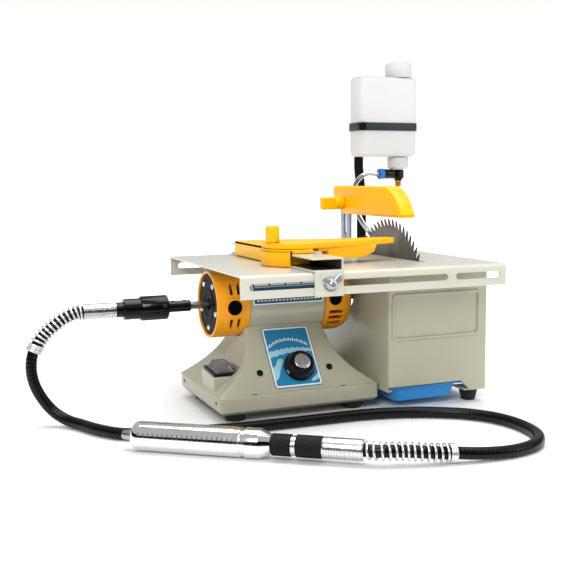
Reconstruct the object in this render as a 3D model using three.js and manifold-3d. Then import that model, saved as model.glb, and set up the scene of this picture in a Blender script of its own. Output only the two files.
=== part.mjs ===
// Bench trim saw: cast motor stand, saw table with box and tray, drip bottle, flexible shaft and handpiece.
// Millimetres, +Z up. The machine is laid out from the table's front left corner at floor level:
// X runs along the motor shaft to the blade, Y runs from the front lip to the back, Z is height.
import * as THREE from 'three';
import { mergeVertices } from 'three/addons/utils/BufferGeometryUtils.js';
import Module from 'manifold-3d';

const wasm = await Module();
wasm.setup();

// ---------------------------------------------------------------- driving dimensions
const GAP = 0.3;                 // clearance between pieces that touch
const TABLE_W = 290;
const TABLE_D = 240;
const TABLE_TOP = 152.5;
const SHEET = 2;                 // table and box sheet thickness
const LIP_H = 22;
const SLOT_H = 6.5;
const AXIS_Y = 127;              // motor shaft
const AXIS_Z = 110.5;
const SHAFT_R = 4;
const BLADE_X = 222;
const BLADE_R = 84;
const BLADE_T = 1.6;
const TEETH = 60;
const HOUSING_R = 34;
const CAP_R = 35;
const LEFT_CAP = [8, 44];
const RIGHT_CAP = [128, 162];
const STAND_X = [-3.5, 170.5];
const STAND_Y = [51, 193];
const STAND_Z = [12, 28];
const WALL = 3;                  // casting wall
const PEDESTAL_X = 83;           // middle of the flared pedestal
const FRONT_FOOT_Y = 54;         // sloping front face, at the flange
const FRONT_TOP_Y = 100;         // and where it meets the motor
const SLOPE_TOP_Z = 88;
const BOX_X = [172, 291];
const BOX_Y = [33, 215];
const BOX_Z = [25.5, 150.2];
const LEG_Z = 14;
const RAIL_Z = 20;               // rails that carry the tray, below the blade
const FENCE_X = [72, 104];
const FENCE_END_Y = 235;
const FENCE_BASE_Z = TABLE_TOP + GAP;
const FENCE_H = 13.2;
const GAUGE_X = 87;              // gauge pivot
const GAUGE_Y = 83;
const GAUGE_R = 33;
const GAUGE_SWING = 11.3;        // degrees that the arm is turned
const GUARD_X = [213, 231];
const GUARD_BOLT = [224.5, 210]; // Y and Z of the guard's clamp bolt
const BOTTLE_X = [231.5, 309.5];
const BOTTLE_Y = [213, 247];
const BOTTLE_Z = [266, 361.5];
const SPOUT_X = 291.5;
const ELBOW_Z = 245;
const SHEATH_R = 5.7;            // flexible shaft's rubber sheath
const SPRING_R = 8.4;            // strain relief springs
const HAND_R = 13.3;             // handpiece barrel
const HAND_START = [-97.8, 11.9]; // barrel's front end
const HAND_TURN = -36.4;         // degrees about Z
const HAND_LENGTH = 207.2;

// ---------------------------------------------------------------- solids
const deg = THREE.MathUtils.degToRad;

function solid(geometry) {
  const bare = geometry.clone();
  bare.deleteAttribute('normal');
  bare.deleteAttribute('uv');
  const merged = mergeVertices(bare, 1e-4);
  const index = Array.from(merged.index.array);
  const triVerts = [];
  for (let i = 0; i < index.length; i += 3) {
    const [a, b, c] = index.slice(i, i + 3);
    if (a !== b && b !== c && c !== a) triVerts.push(a, b, c);
  }
  const vertProperties = new Float32Array(merged.attributes.position.array);
  const mesh = new wasm.Mesh({ numProp: 3, vertProperties, triVerts: new Uint32Array(triVerts) });
  return new wasm.Manifold(mesh);
}

const join = (first, ...rest) => rest.reduce((sum, each) => sum.add(each), first);
const cut = (first, ...rest) => rest.reduce((left, each) => left.subtract(each), first);

function box([x0, x1], [y0, y1], [z0, z1]) {
  const geometry = new THREE.BoxGeometry(x1 - x0, y1 - y0, z1 - z0);
  return solid(geometry.translate((x0 + x1) / 2, (y0 + y1) / 2, (z0 + z1) / 2));
}

// A cylinder or cone from a to b along one axis; (u, v) is its place on the other two axes in order.
function rod(axis, a, b, u, v, radiusA, radiusB = radiusA, sides = 18) {
  const geometry = new THREE.CylinderGeometry(radiusB, radiusA, b - a, sides);
  geometry.translate(0, (a + b) / 2, 0);
  if (axis === 'x') geometry.rotateZ(-Math.PI / 2).translate(0, u, v);
  if (axis === 'y') geometry.translate(u, 0, v);
  if (axis === 'z') geometry.rotateX(Math.PI / 2).translate(u, v, 0);
  return solid(geometry);
}

const hollowRod = (axis, a, b, outer, inner, sides = 24) => cut(
  rod(axis, a, b, 0, 0, outer, outer, sides), rod(axis, a - 1, b + 1, 0, 0, inner, inner, sides));

// A turned piece about X from [x, radius] points; it starts and ends on the axis.
function turned(points, sides = 20) {
  const profile = points.map(([x, r]) => new THREE.Vector2(r, x));
  return solid(new THREE.LatheGeometry(profile, sides).rotateZ(-Math.PI / 2));
}

// A flat outline in two axes, given a thickness along the third.
function plate(plane, outline, [from, to], curveSegments = 4) {
  const shape = outline instanceof THREE.Shape ? outline
    : new THREE.Shape(outline.map(([a, b]) => new THREE.Vector2(a, b)));
  const geometry = new THREE.ExtrudeGeometry(shape, {
    depth: to - from, bevelEnabled: false, curveSegments });
  geometry.translate(0, 0, from);
  if (plane === 'xz') geometry.rotateX(Math.PI / 2).scale(1, -1, 1);
  if (plane === 'yz') geometry.rotateX(Math.PI / 2).rotateZ(Math.PI / 2);
  if (plane === 'xz') flip(geometry);
  return solid(geometry);
}

function flip(geometry) {
  const position = geometry.attributes.position;
  for (let i = 0; i < position.count; i += 3) {
    const b = new THREE.Vector3().fromBufferAttribute(position, i + 1);
    const c = new THREE.Vector3().fromBufferAttribute(position, i + 2);
    position.setXYZ(i + 1, c.x, c.y, c.z);
    position.setXYZ(i + 2, b.x, b.y, b.z);
  }
}

function roundedRect([x0, x1], [y0, y1], r) {
  const shape = new THREE.Shape();
  shape.absarc(x1 - r, y0 + r, r, -Math.PI / 2, 0);
  shape.absarc(x1 - r, y1 - r, r, 0, Math.PI / 2);
  shape.absarc(x0 + r, y1 - r, r, Math.PI / 2, Math.PI);
  shape.absarc(x0 + r, y0 + r, r, Math.PI, Math.PI * 1.5);
  return shape;
}

// A long slot with round ends, cut along X through a lip that faces Y.
function lipSlot([x0, x1], y, z) {
  const r = SLOT_H / 2;
  const across = [y - 3, y + 3];
  return join(
    box([x0 + r, x1 - r], across, [z - r, z + r]),
    rod('y', ...across, x0 + r, z, r, r, 12),
    rod('y', ...across, x1 - r, z, r, r, 12));
}

// A four-sided frustum standing on z = 0.
function frustum(w0, d0, w1, d1, height) {
  const geometry = new THREE.BoxGeometry(w0, d0, height).translate(0, 0, height / 2);
  const position = geometry.attributes.position;
  for (let i = 0; i < position.count; i += 1) {
    if (position.getZ(i) > height / 2) {
      position.setX(i, position.getX(i) * w1 / w0);
      position.setY(i, position.getY(i) * d1 / d0);
    }
  }
  return solid(geometry);
}

// A round tube along a curve; an inner radius makes it a sleeve.
function tubeAlong(points, radius, steps, sides, inner = 0) {
  const curve = new THREE.CatmullRomCurve3(points.map((p) => new THREE.Vector3(...p)), false, 'centripetal');
  const circle = (Kind, r) => new Kind(Array.from({ length: sides }, (_, i) => {
    const turn = (2 * Math.PI * i) / sides;
    return new THREE.Vector2(r * Math.cos(turn), r * Math.sin(turn));
  }));
  const shape = circle(THREE.Shape, radius);
  if (inner) shape.holes.push(circle(THREE.Path, inner));
  return solid(new THREE.ExtrudeGeometry(shape, { steps, bevelEnabled: false, extrudePath: curve }));
}

// ---------------------------------------------------------------- scene graph helpers
const machine = new THREE.Group();
const finish = (color, roughness, metalness = 0) =>
  new THREE.MeshStandardMaterial({ color, roughness, metalness });
const cream = finish(0xbab5a3, 0.5);
const yellow = finish(0xfdbe12, 0.4);
const orange = finish(0xe89a1a, 0.45);
const black = finish(0x17181a, 0.5);
const rubber = finish(0x101112, 0.8);
const steel = finish(0x9b9fa3, 0.3, 1);
const chrome = finish(0xd8dadc, 0.12, 1);
const blue = finish(0x1c7fc0, 0.4);
const clear = finish(0xf2f4f4, 0.3);
const copper = finish(0xb5713a, 0.4, 1);
const green = finish(0x1f5a38, 0.6);

function group(parent, x, y, z) {
  const child = new THREE.Group();
  child.position.set(x, y, z);
  parent.add(child);
  return child;
}

function part(parent, name, manifold, material, x = 0, y = 0, z = 0) {
  const { numProp, vertProperties, triVerts } = manifold.getMesh();
  const xyz = new Float32Array((vertProperties.length / numProp) * 3);
  for (let i = 0; i < xyz.length; i += 1) {
    xyz[i] = vertProperties[Math.floor(i / 3) * numProp + (i % 3)];
  }
  const geometry = new THREE.BufferGeometry();
  geometry.setAttribute('position', new THREE.BufferAttribute(xyz, 3));
  geometry.setIndex(new THREE.BufferAttribute(new Uint32Array(triVerts), 1));
  geometry.computeVertexNormals();
  const mesh = new THREE.Mesh(geometry, material);
  mesh.name = name;
  mesh.position.set(x, y, z);
  parent.add(mesh);
  return mesh;
}

// ---------------------------------------------------------------- motor stand
const slope = (FRONT_TOP_Y - FRONT_FOOT_Y) / (SLOPE_TOP_Z - STAND_Z[1]);
const slopeAngle = Math.atan(slope);

// The flared pedestal: concave sides, sloping front and back. inset shrinks it for the hollow inside.
function pedestal(inset, floorZ, topZ) {
  const foot = STAND_Z[1];
  const halfWidth = (z) => 44 - inset + 43 * Math.max(0, (SLOPE_TOP_Z - z) / (SLOPE_TOP_Z - foot)) ** 2.3;
  const levels = [foot, 32, 37, 43, 50, 58, 68, 80].filter((z) => z < topZ).concat(topZ);
  const right = levels.map((z) => [PEDESTAL_X + halfWidth(z), z]);
  const left = levels.map((z) => [PEDESTAL_X - halfWidth(z), z]).reverse();
  const foot2 = [[PEDESTAL_X - halfWidth(foot), floorZ], [PEDESTAL_X + halfWidth(foot), floorZ]];
  const face = plate('xz', [...foot2, ...right, ...left], [0, 250]);
  const front = (z) => FRONT_FOOT_Y + inset + slope * (z - foot);
  const back = (z) => 2 * AXIS_Y - front(z) - 10;
  const side = plate('yz', [[front(foot), floorZ], [back(foot), floorZ], [back(foot), foot],
    [back(topZ), topZ], [front(topZ), topZ], [front(foot), foot]], [-50, 250]);
  return face.intersect(side);
}

const SWITCH_X = [-2, 27];
const SWITCH_Y = [77, 118];
const SWITCH_Z = [43, 46.5];       // the switch box's top, front and back
const switchTilt = Math.atan2(SWITCH_Z[1] - SWITCH_Z[0], SWITCH_Y[1] - SWITCH_Y[0]);

function motorStand() {
  const [z0, z1] = STAND_Z;
  const flange = plate('xy', roundedRect(STAND_X, STAND_Y, 4), [z0, z1]);
  const inside = box([STAND_X[0] + WALL, STAND_X[1] - WALL], [STAND_Y[0] + WALL, STAND_Y[1] - WALL], [0, z1 - WALL]);
  const saddle = join(rod('x', -60, 260, AXIS_Y, AXIS_Z, HOUSING_R + GAP, HOUSING_R + GAP, 48),
    rod('x', -60, LEFT_CAP[1] + GAP, AXIS_Y, AXIS_Z, CAP_R + 2 * GAP, CAP_R + 2 * GAP, 48),
    rod('x', RIGHT_CAP[0], 260, AXIS_Y, AXIS_Z, CAP_R + 2 * GAP, CAP_R + 2 * GAP, 48));
  const switchBox = plate('yz', [[SWITCH_Y[0], z1 - 1], [SWITCH_Y[1], z1 - 1], [SWITCH_Y[1], SWITCH_Z[1]],
    [SWITCH_Y[0], SWITCH_Z[0]]], SWITCH_X);
  const switchHollow = box([SWITCH_X[0] + 4, SWITCH_X[1] - 4], [SWITCH_Y[0] + 5, SWITCH_Y[1] - 5], [z1 - 4, 60]);
  const hollow = join(inside, pedestal(WALL, z0, 70), switchHollow);
  const flared = pedestal(0, z0 + 1, 96);
  const body = cut(join(flange, flared, switchBox), saddle, hollow);
  const wallX = SWITCH_X[1] - 1;
  const pocketWall = box([wallX, wallX + WALL], [SWITCH_Y[0] - WALL, SWITCH_Y[1] + WALL], [z1, 60]).intersect(flared);
  const pocket = plate('yz', [[SWITCH_Y[0], SWITCH_Z[0]], [SWITCH_Y[1], SWITCH_Z[1]], [SWITCH_Y[1], 70],
    [SWITCH_Y[0], 70]], [SWITCH_X[0] - 5, wallX]);
  return cut(join(body, pocketWall), pocket, knobBore(4.6, -8, 4));
}

// Face frame: a group on the sloping front, x to the right, y up the slope, z out of it.
const face = group(machine, 0, FRONT_FOOT_Y, STAND_Z[1]);
face.rotation.x = Math.PI / 2 - slopeAngle;
const KNOB_X = 86;
const KNOB_UP = 24.9;

// The knob's bore in machine coordinates, between two depths along the face's normal.
function knobBore(radius, from, to) {
  const bore = rod('z', from, to, KNOB_X, KNOB_UP, radius);
  return bore.rotate([90 - THREE.MathUtils.radToDeg(slopeAngle), 0, 0])
    .translate([0, FRONT_FOOT_Y, STAND_Z[1]]);
}

part(machine, 'motor_stand', motorStand(), cream);
part(machine, 'bottom_cover', plate('xy', roundedRect([-1, 168], [53.5, 190.5], 4), [10, 11.7]), steel);
[[18, 72], [149, 72], [149, 172], [18, 172]].forEach(([x, y], i) => {
  part(machine, `stand_foot_${i + 1}`, rod('z', 0, 9.7, 0, 0, 10, 11.5, 20), rubber, x, y, 0);
});

const PLATE_X = [56, 108];
const PLATE_UP = [3.5, 72];
part(face, 'speed_plate', cut(
  plate('xy', roundedRect(PLATE_X, PLATE_UP, 3), [GAP, 1.1]), rod('z', -1, 3, KNOB_X, KNOB_UP, 5)), blue);
part(face, 'speed_knob', join(
  rod('z', 1.6, 14.5, 0, 0, 16, 12.5, 24), rod('z', 14, 15.6, 0, 0, 8.5, 8.5, 16),
  rod('z', -7, 2, 0, 0, 3, 3, 12)), black, KNOB_X, KNOB_UP, 0);
part(face, 'control_board', join(
  box([-24, 24], [-17, 20], [-17, -15.4]),
  cut(rod('z', -15.5, -4.2, 0, 0, 8), rod('z', -12, 0, 0, 0, 3.4)),
  box([-18, -10], [-10, 6], [-15.5, -7]), box([12, 20], [2, 14], [-15.5, -6])), green, KNOB_X, KNOB_UP, 0);

const rocker = group(machine, 12, 97.5, (SWITCH_Z[0] + SWITCH_Z[1]) / 2 + GAP + 0.05);
rocker.rotation.x = switchTilt;
part(rocker, 'switch_bezel', cut(
  join(box([-13, 13], [-18.5, 18.5], [0, 2.2]), box([-9.5, 9.5], [-14.5, 14.5], [-8, 0.5])),
  box([-7.5, 7.5], [-12.5, 12.5], [-9, 3])), black);
const paddle = part(rocker, 'switch_rocker', join(
  box([-7, 7], [-11.4, 11.4], [-1.5, 2.6]), rod('x', -7, 7, 0, -1.5, 3.5, 3.5, 16)), black, 0, 0, 0.6);
paddle.rotation.x = deg(-6);
part(rocker, 'switch_boot', cut(
  join(frustum(19, 30, 14, 22, 7.5), box([-10.5, 10.5], [-16, 16], [0, 1])).translate([0, 0, 2.5]),
  frustum(17, 28, 12, 20, 6.5).translate([0, 0, 2.4])), clear);

// ---------------------------------------------------------------- motor, on the shaft's axis
const motor = group(machine, 0, AXIS_Y, AXIS_Z);

function nameplate() {
  const band = cut(rod('x', 47, 125, 0, 0, HOUSING_R + 1.1, HOUSING_R + 1.1, 60),
    rod('x', 0, 200, 0, 0, HOUSING_R + GAP, HOUSING_R + GAP, 60));
  return band.intersect(box([47, 125], [-40, -20], [1, 28]));
}

function leftCap() {
  const [x0, x1] = LEFT_CAP;
  const shell = hollowRod('x', x0, x1, CAP_R, CAP_R - 3, 32);
  const bosses = [-1, 1].map((side) => rod('y', side < 0 ? -38 : 30, side < 0 ? -30 : 38, 26, 0, 9.5));
  const bores = rod('y', -50, 50, 26, 0, 7.8);
  const slits = [];
  for (const side of [-40, 24]) {
    for (const x of [20, 28]) {
      slits.push(box([x, x + 3], [side, side + 16], [13, 27]), box([x, x + 3], [side, side + 16], [-27, -13]));
    }
  }
  return cut(join(shell, ...bosses), rod('x', x0 - 1, x1 + 1, 0, 0, CAP_R - 3, CAP_R - 3, 32), bores, ...slits);
}

function rightCap() {
  const [x0, x1] = RIGHT_CAP;
  const outside = turned([[x0 + GAP, 0], [x0 + GAP, CAP_R], [150, CAP_R], [158, 33], [x1, 28], [x1, 0]], 32);
  const inside = turned([[x0, 0], [x0, CAP_R - 3], [149, CAP_R - 3], [158, 28], [158, 0]], 32);
  const seat = rod('x', 150, 159, 0, 0, 14.5);
  const plug = rod('y', -50, 0, 140, 3, 7.4);
  const slits = [];
  for (const side of [-40, 24]) {
    for (const z of [-12, -18, -24]) slits.push(box([135, 148], [side, side + 16], [z, z + 2.6]));
  }
  return cut(join(cut(outside, inside), seat), rod('x', 149, 157, 0, 0, 11.3), rod('x', 150, 170, 0, 0, 5),
    plug, ...slits);
}

function bearing(name, x) {
  part(motor, name, hollowRod('x', -3.5, 3.5, 11, SHAFT_R + 0.4, 24), steel, x, 0, 0);
}

function bladeShape() {
  const points = [];
  for (let i = 0; i < TEETH; i += 1) {
    const start = (2 * Math.PI * i) / TEETH;
    const pitch = (2 * Math.PI) / TEETH;
    for (const [turn, r] of [[0, BLADE_R], [0.3, BLADE_R - 3.6], [0.82, BLADE_R - 7]]) {
      points.push([r * Math.cos(start + turn * pitch), r * Math.sin(start + turn * pitch)]);
    }
  }
  return points;
}

part(motor, 'motor_housing', hollowRod('x', LEFT_CAP[1] + GAP, RIGHT_CAP[0], HOUSING_R, HOUSING_R - 3, 32), cream);
part(motor, 'motor_nameplate', nameplate(), blue);
part(motor, 'end_cap_left', leftCap(), orange);
part(motor, 'end_cap_right', rightCap(), orange);
part(motor, 'end_plate_left', cut(
  join(rod('x', 9.5, 12.5, 0, 0, 31.6, 31.6, 36), rod('x', 12, 22, 0, 0, 14.5)),
  rod('x', 14.6, 24, 0, 0, 11.3), rod('x', 0, 20, 0, 0, 6)), black);
bearing('bearing_left', 18.5);
bearing('bearing_right', 153.4);
part(motor, 'stator_core', hollowRod('x', 62, 106, HOUSING_R - 3.4, 22, 32), steel);
part(motor, 'brush_cap_front', rod('y', -38.6, -30, 26, 0, 7.4, 7.4, 20), black);
part(motor, 'brush_cap_rear', rod('y', 30, 38.6, 26, 0, 7.4, 7.4, 20), black);
part(motor, 'bearing_plug_front', rod('y', -36.2, -27, 140, 3, 7, 7, 20), black);
part(motor, 'carbon_brush_front', box([22.5, 29.5], [-29.6, -12.6], [-4, 4]), rubber);
part(motor, 'carbon_brush_rear', box([22.5, 29.5], [12.6, 29.6], [-4, 4]), rubber);

// Everything that turns with the shaft.
const bladeSeat = [BLADE_X - BLADE_T / 2 - GAP - 4.5, BLADE_X - BLADE_T / 2 - GAP];
part(motor, 'motor_shaft', join(rod('x', -30, 237, 0, 0, SHAFT_R), rod('x', ...bladeSeat, 0, 0, 16)), steel);
part(motor, 'armature_core', armature(), copper);
part(motor, 'commutator', hollowRod('x', 24.2, 36, 12.2, SHAFT_R + 0.4, 24), copper);
part(motor, 'cooling_fan', fan(), black);
part(motor, 'saw_blade', cut(plate('yz', bladeShape(), [BLADE_X - BLADE_T / 2, BLADE_X + BLADE_T / 2]),
  rod('x', 200, 240, 0, 0, SHAFT_R + 0.4)), steel);
part(motor, 'arbor_nut', cut(
  join(rod('x', BLADE_X + 1.1, BLADE_X + 5.6, 0, 0, 16), rod('x', BLADE_X + 5, BLADE_X + 12, 0, 0, 8.5, 8.5, 6)),
  rod('x', 200, 240, 0, 0, SHAFT_R + 0.4)), steel);
part(motor, 'drive_adapter', cut(
  join(rod('x', -34.7, -10.5, 0, 0, 5.8), rod('x', -54, -34, 0, 0, 3.4, 3.4, 16)),
  rod('x', -30.4, 0, 0, 0, SHAFT_R + 0.4)), black);

function armature() {
  const slots = [];
  for (let i = 0; i < 10; i += 1) {
    slots.push(box([60, 110], [-1.5, 1.5], [15, 23]).rotate([36 * i, 0, 0]));
  }
  return cut(rod('x', 64, 104, 0, 0, 21, 21, 30), rod('x', 60, 110, 0, 0, SHAFT_R + 0.4), ...slots);
}

function fan() {
  const vanes = [];
  for (let i = 0; i < 8; i += 1) {
    vanes.push(box([112, 121], [-0.9, 0.9], [8, 27]).rotate([45 * i, 0, 0]));
  }
  return cut(join(rod('x', 110, 122, 0, 0, 9), rod('x', 120.5, 122.5, 0, 0, 27.5), ...vanes),
    rod('x', 100, 130, 0, 0, SHAFT_R + 0.4));
}

// ---------------------------------------------------------------- table, box and tray
function sawTable() {
  const lip = [TABLE_TOP - LIP_H, TABLE_TOP];
  const top = box([0, TABLE_W], [0, TABLE_D], [TABLE_TOP - SHEET, TABLE_TOP]);
  const front = box([0, TABLE_W], [0, SHEET], lip);
  const back = box([0, TABLE_W], [TABLE_D - SHEET, TABLE_D], lip);
  const middle = TABLE_TOP - LIP_H / 2;
  const slots = [1, TABLE_D - 1].flatMap((y) => [lipSlot([9, 220.5], y, middle), lipSlot([229.5, 282], y, middle)]);
  const bladeSlot = box([BLADE_X - 2.5, BLADE_X + 2.5], [46, 208], [140, 160]);
  return cut(join(top, front, back), bladeSlot, ...slots);
}

function sawBox() {
  const [x0, x1] = BOX_X;
  const [y0, y1] = BOX_Y;
  const [z0, z1] = BOX_Z;
  const panel = plate('xz', [[x0, z0], [259, z0], [271, LEG_Z], [x1, LEG_Z], [x1, z1], [x0, z1]], [y0, y0 + SHEET]);
  const left = box([x0, x0 + SHEET], [y0, y1], [z0, z1]);
  const right = box([x1 - SHEET, x1], [y0, y1], [z0, z1]);
  const legs = [[y0, y0 + 24], [y1 - 24, y1]].flatMap((y) => [
    box([x1 - SHEET, x1], y, [LEG_Z, z0 + 1]), box([263, x1], y, [LEG_Z, LEG_Z + SHEET])]);
  const along = [y0 + 4, y1 - 2];
  const rails = [[x0, x0 + SHEET, x0 + 6], [x1, x1 - SHEET, x1 - 8]].flatMap(([out, web, edge]) => [
    box([Math.min(out, web), Math.max(out, web)], along, [RAIL_Z, z0 + 1]),
    box([Math.min(out, edge), Math.max(out, edge)], along, [RAIL_Z, RAIL_Z + SHEET])]);
  const flanges = [box([x0, x0 + 14], [y0, y1], [z1 - SHEET, z1]), box([x1 - 14, x1], [y0, y1], [z1 - SHEET, z1])];
  return cut(join(panel, left, right, ...legs, ...rails, ...flanges),
    rod('x', x0 - 5, x0 + 5, AXIS_Y, AXIS_Z, 12));
}

function waterTray() {
  const rimZ = RAIL_Z + SHEET + GAP;
  const rim = box([BOX_X[0] + SHEET + 0.5, BOX_X[1] - SHEET - 0.5], [36, 212.6], [rimZ, rimZ + 2]);
  const tub = (inset, top) => frustum(78 - 2 * inset, 172 - 2 * inset, 68 - 2 * inset, 164 - 2 * inset, 14.8 - inset)
    .rotate([180, 0, 0]).translate([219, 124.5, top]);
  return cut(join(rim, tub(0, rimZ + 0.5)), tub(2, rimZ + 0.5), box([182.5, 255.5], [41, 208], [rimZ - 1, rimZ + 3]));
}

part(machine, 'saw_table', sawTable(), cream);
part(machine, 'saw_box', sawBox(), cream);
part(machine, 'water_tray', waterTray(), blue);
part(machine, 'box_foot_front', rod('z', 0, LEG_Z - GAP, 0, 0, 7.5, 10.5), rubber, 279.5, 50, 0);
part(machine, 'box_foot_rear', rod('z', 0, LEG_Z - GAP, 0, 0, 7.5, 10.5), rubber, 279.5, 200, 0);

// ---------------------------------------------------------------- blade guard on its slotted post
const POST_X = [216, 219];
const POST_Y = [GUARD_BOLT[0] - 12, GUARD_BOLT[0] + 12];

function guardPost() {
  const bar = box(POST_X, POST_Y, [TABLE_TOP + GAP, 226]);
  const foot = box([196, POST_X[1]], POST_Y, [TABLE_TOP + GAP, TABLE_TOP + GAP + 3]);
  const slot = join(box([210, 225], [GUARD_BOLT[0] - 3.5, GUARD_BOLT[0] + 3.5], [176, 218]),
    rod('x', 210, 225, GUARD_BOLT[0], 176, 3.5, 3.5, 12), rod('x', 210, 225, GUARD_BOLT[0], 218, 3.5, 3.5, 12));
  const screws = [-6, 6].map((y) => rod('z', 150, 160, 205, GUARD_BOLT[0] + y, 2.2, 2.2, 12));
  return cut(join(bar, foot), slot, ...screws);
}

// The guard's side outline in Y and Z; inset shrinks it for the hollow.
function guardOutline(inset) {
  const shape = new THREE.Shape();
  shape.moveTo(81 + inset * 1.3, 197 - inset * 5);
  shape.lineTo(229, 197 - inset * 5);
  if (!inset) shape.lineTo(252, 218);
  else shape.lineTo(252 - inset, 197 - inset * 5);
  shape.lineTo(252 - inset, 230.7 - inset);
  shape.lineTo(124, 230.7 - inset);
  shape.bezierCurveTo(108, 230.7 - inset, 92 + inset, 218, 81 + inset * 1.3, 197 + inset);
  return shape;
}

part(machine, 'guard_post', guardPost(), steel);
part(machine, 'blade_guard', cut(
  plate('yz', guardOutline(0), GUARD_X),
  plate('yz', guardOutline(2), [GUARD_X[0] + 2, GUARD_X[1] - 2]),
  rod('x', 200, 218, ...GUARD_BOLT, 3.3),
  box([POST_X[0] - 0.8, POST_X[1] + 0.8], [POST_Y[0] - 11, POST_Y[1] + 3], [225, 235])), yellow);
part(machine, 'guard_knob', join(
  rod('x', 200, GUARD_X[0] - 0.5, ...GUARD_BOLT, 7.5, 7.5, 20),
  box([184, 203], [GUARD_BOLT[0] - 4, GUARD_BOLT[0] + 4], [GUARD_BOLT[1] - 7.5, GUARD_BOLT[1] + 7.5]),
  rod('x', 205, 227, ...GUARD_BOLT, 2.9, 2.9, 16),
  rod('x', POST_X[1] + 0.6, POST_X[1] + 5, ...GUARD_BOLT, 5.6, 5.6, 6)), yellow);

// ---------------------------------------------------------------- drip bottle
const BAR_X = [241.3, 253.1];
const BOTTLE_MID_Y = (BOTTLE_Y[0] + BOTTLE_Y[1]) / 2;

function bottleBracket() {
  const low = TABLE_D + GAP;
  const high = BOTTLE_Y[1] + 2.1;
  const t = 3;
  return plate('yz', [[low, 133], [low + t, 133], [low + t, 214], [high + t, 253], [high + t, 318],
    [high, 318], [high, 254], [low, 215]], BAR_X);
}

function bottle() {
  const [x0, x1] = BOTTLE_X;
  const [y0, y1] = BOTTLE_Y;
  const [z0, z1] = BOTTLE_Z;
  const w = 1.6;
  const core = plate('xy', roundedRect([x0 + w, x1 - w], [y0 + w, y1 - w], 6), [z0 + w, z1 - w]);
  return cut(plate('xy', roundedRect(BOTTLE_X, BOTTLE_Y, 7), BOTTLE_Z), core,
    rod('z', z1 - 10, z1 + 10, SPOUT_X, BOTTLE_MID_Y, 11.5), rod('z', z0 - 10, z0 + 10, SPOUT_X, BOTTLE_MID_Y, 7));
}

function strap() {
  const grown = (by, r) => roundedRect([BOTTLE_X[0] - by, BOTTLE_X[1] + by], [BOTTLE_Y[0] - by, BOTTLE_Y[1] + by], r);
  return cut(plate('xy', grown(1.8, 8.8), [297, 306.5]), plate('xy', grown(GAP, 7.3), [296, 308]));
}

part(machine, 'bottle_bracket', bottleBracket(), black);
part(machine, 'water_bottle', bottle(), clear);
part(machine, 'bottle_strap', strap(), black);
part(machine, 'fill_cap', join(rod('z', GAP, 18, 0, 0, 16, 16, 32), rod('z', -7, 1, 0, 0, 11.1)),
  clear, SPOUT_X, BOTTLE_MID_Y, BOTTLE_Z[1]);
part(machine, 'spout_cap', join(rod('z', -15, -GAP, 0, 0, 12.8, 12.8, 32), rod('z', -1, 6, 0, 0, 6.6)),
  clear, SPOUT_X, BOTTLE_MID_Y, BOTTLE_Z[0]);
part(machine, 'elbow_fitting', join(
  box([284.5, 297.5], [BOTTLE_MID_Y - 6, BOTTLE_MID_Y + 6], [ELBOW_Z - 6, BOTTLE_Z[0] - 15 - GAP]),
  rod('x', 271.2, 285, BOTTLE_MID_Y, ELBOW_Z, 5.8, 5.8, 20),
  rod('x', 264.8, 271.5, BOTTLE_MID_Y, ELBOW_Z, 6.3, 6.3, 20),
  rod('z', 229, ELBOW_Z - 5, 292.3, BOTTLE_MID_Y, 3.4, 4.6, 16)), black);

// The clear drip tube: out of the elbow, down past the guard and back to the blade's rim.
const TUBE = [[264.2, 230, 245], [259.5, 230, 245.2], [252.5, 231.8, 246.4], [246, 233.8, 243.6], [240.3, 236.2, 238.6],
  [236.6, 237.6, 231.5], [235.4, 237.6, 223], [235.3, 235.6, 213], [235.3, 231, 202.5], [235.2, 223, 192.5],
  [235, 213, 184.8], [234.4, 203, 179.6], [233.2, 194.5, 176.2], [231.8, 187.5, 174]];
part(machine, 'drip_tube', tubeAlong(TUBE, 3, 22, 8), clear);

// ---------------------------------------------------------------- fence and gauge
function fence() {
  const [x0, x1] = FENCE_X;
  const z0 = FENCE_BASE_Z;
  const z1 = z0 + FENCE_H;
  const channel = join(box(FENCE_X, [-GAP - SHEET, FENCE_END_Y], [z0, z0 + SHEET]),
    box([x1 - SHEET, x1], [0, FENCE_END_Y], [z0, z1]), box([x0, x1], [0, FENCE_END_Y], [z1 - SHEET, z1]));
  const apron = box([x0 + 1.5, x1 - 1], [-GAP - SHEET, -GAP], [129.5, z0 + 1]);
  const bore = rod('y', -5, 5, FENCE_SCREW_X, TABLE_TOP - LIP_H / 2, 3.3, 3.3, 16);
  return cut(join(channel, apron), bore);
}

const FENCE_SCREW_X = 89;

function wingScrew() {
  const wings = [35, 145].map((turn) => box([0, 13], [-9.5, -6.5], [-2.6, 2.6]).rotate([0, -turn, 0]));
  return join(rod('y', -10.5, -GAP - SHEET - 0.4, 0, 0, 4.6, 4.6, 16), ...wings, rod('y', -9, 9, 0, 0, 2.8, 2.8, 16),
    rod('y', SHEET + 0.4, 7, 0, 0, 5.5, 5.5, 6));
}

part(machine, 'rip_fence', fence(), cream);
part(machine, 'fence_wing_screw', wingScrew(), chrome, FENCE_SCREW_X, 0, TABLE_TOP - LIP_H / 2);

const gauge = group(machine, GAUGE_X, GAUGE_Y, 0);
const FENCE_TOP = FENCE_BASE_Z + FENCE_H;
const GAUGE_TOP = FENCE_TOP + 4.2;   // top of the sliding carriage
const ARM_TOP = GAUGE_TOP + 6.6;
const KNOB_AT = [-26, -9];           // gauge lock knob, from the pivot

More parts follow.
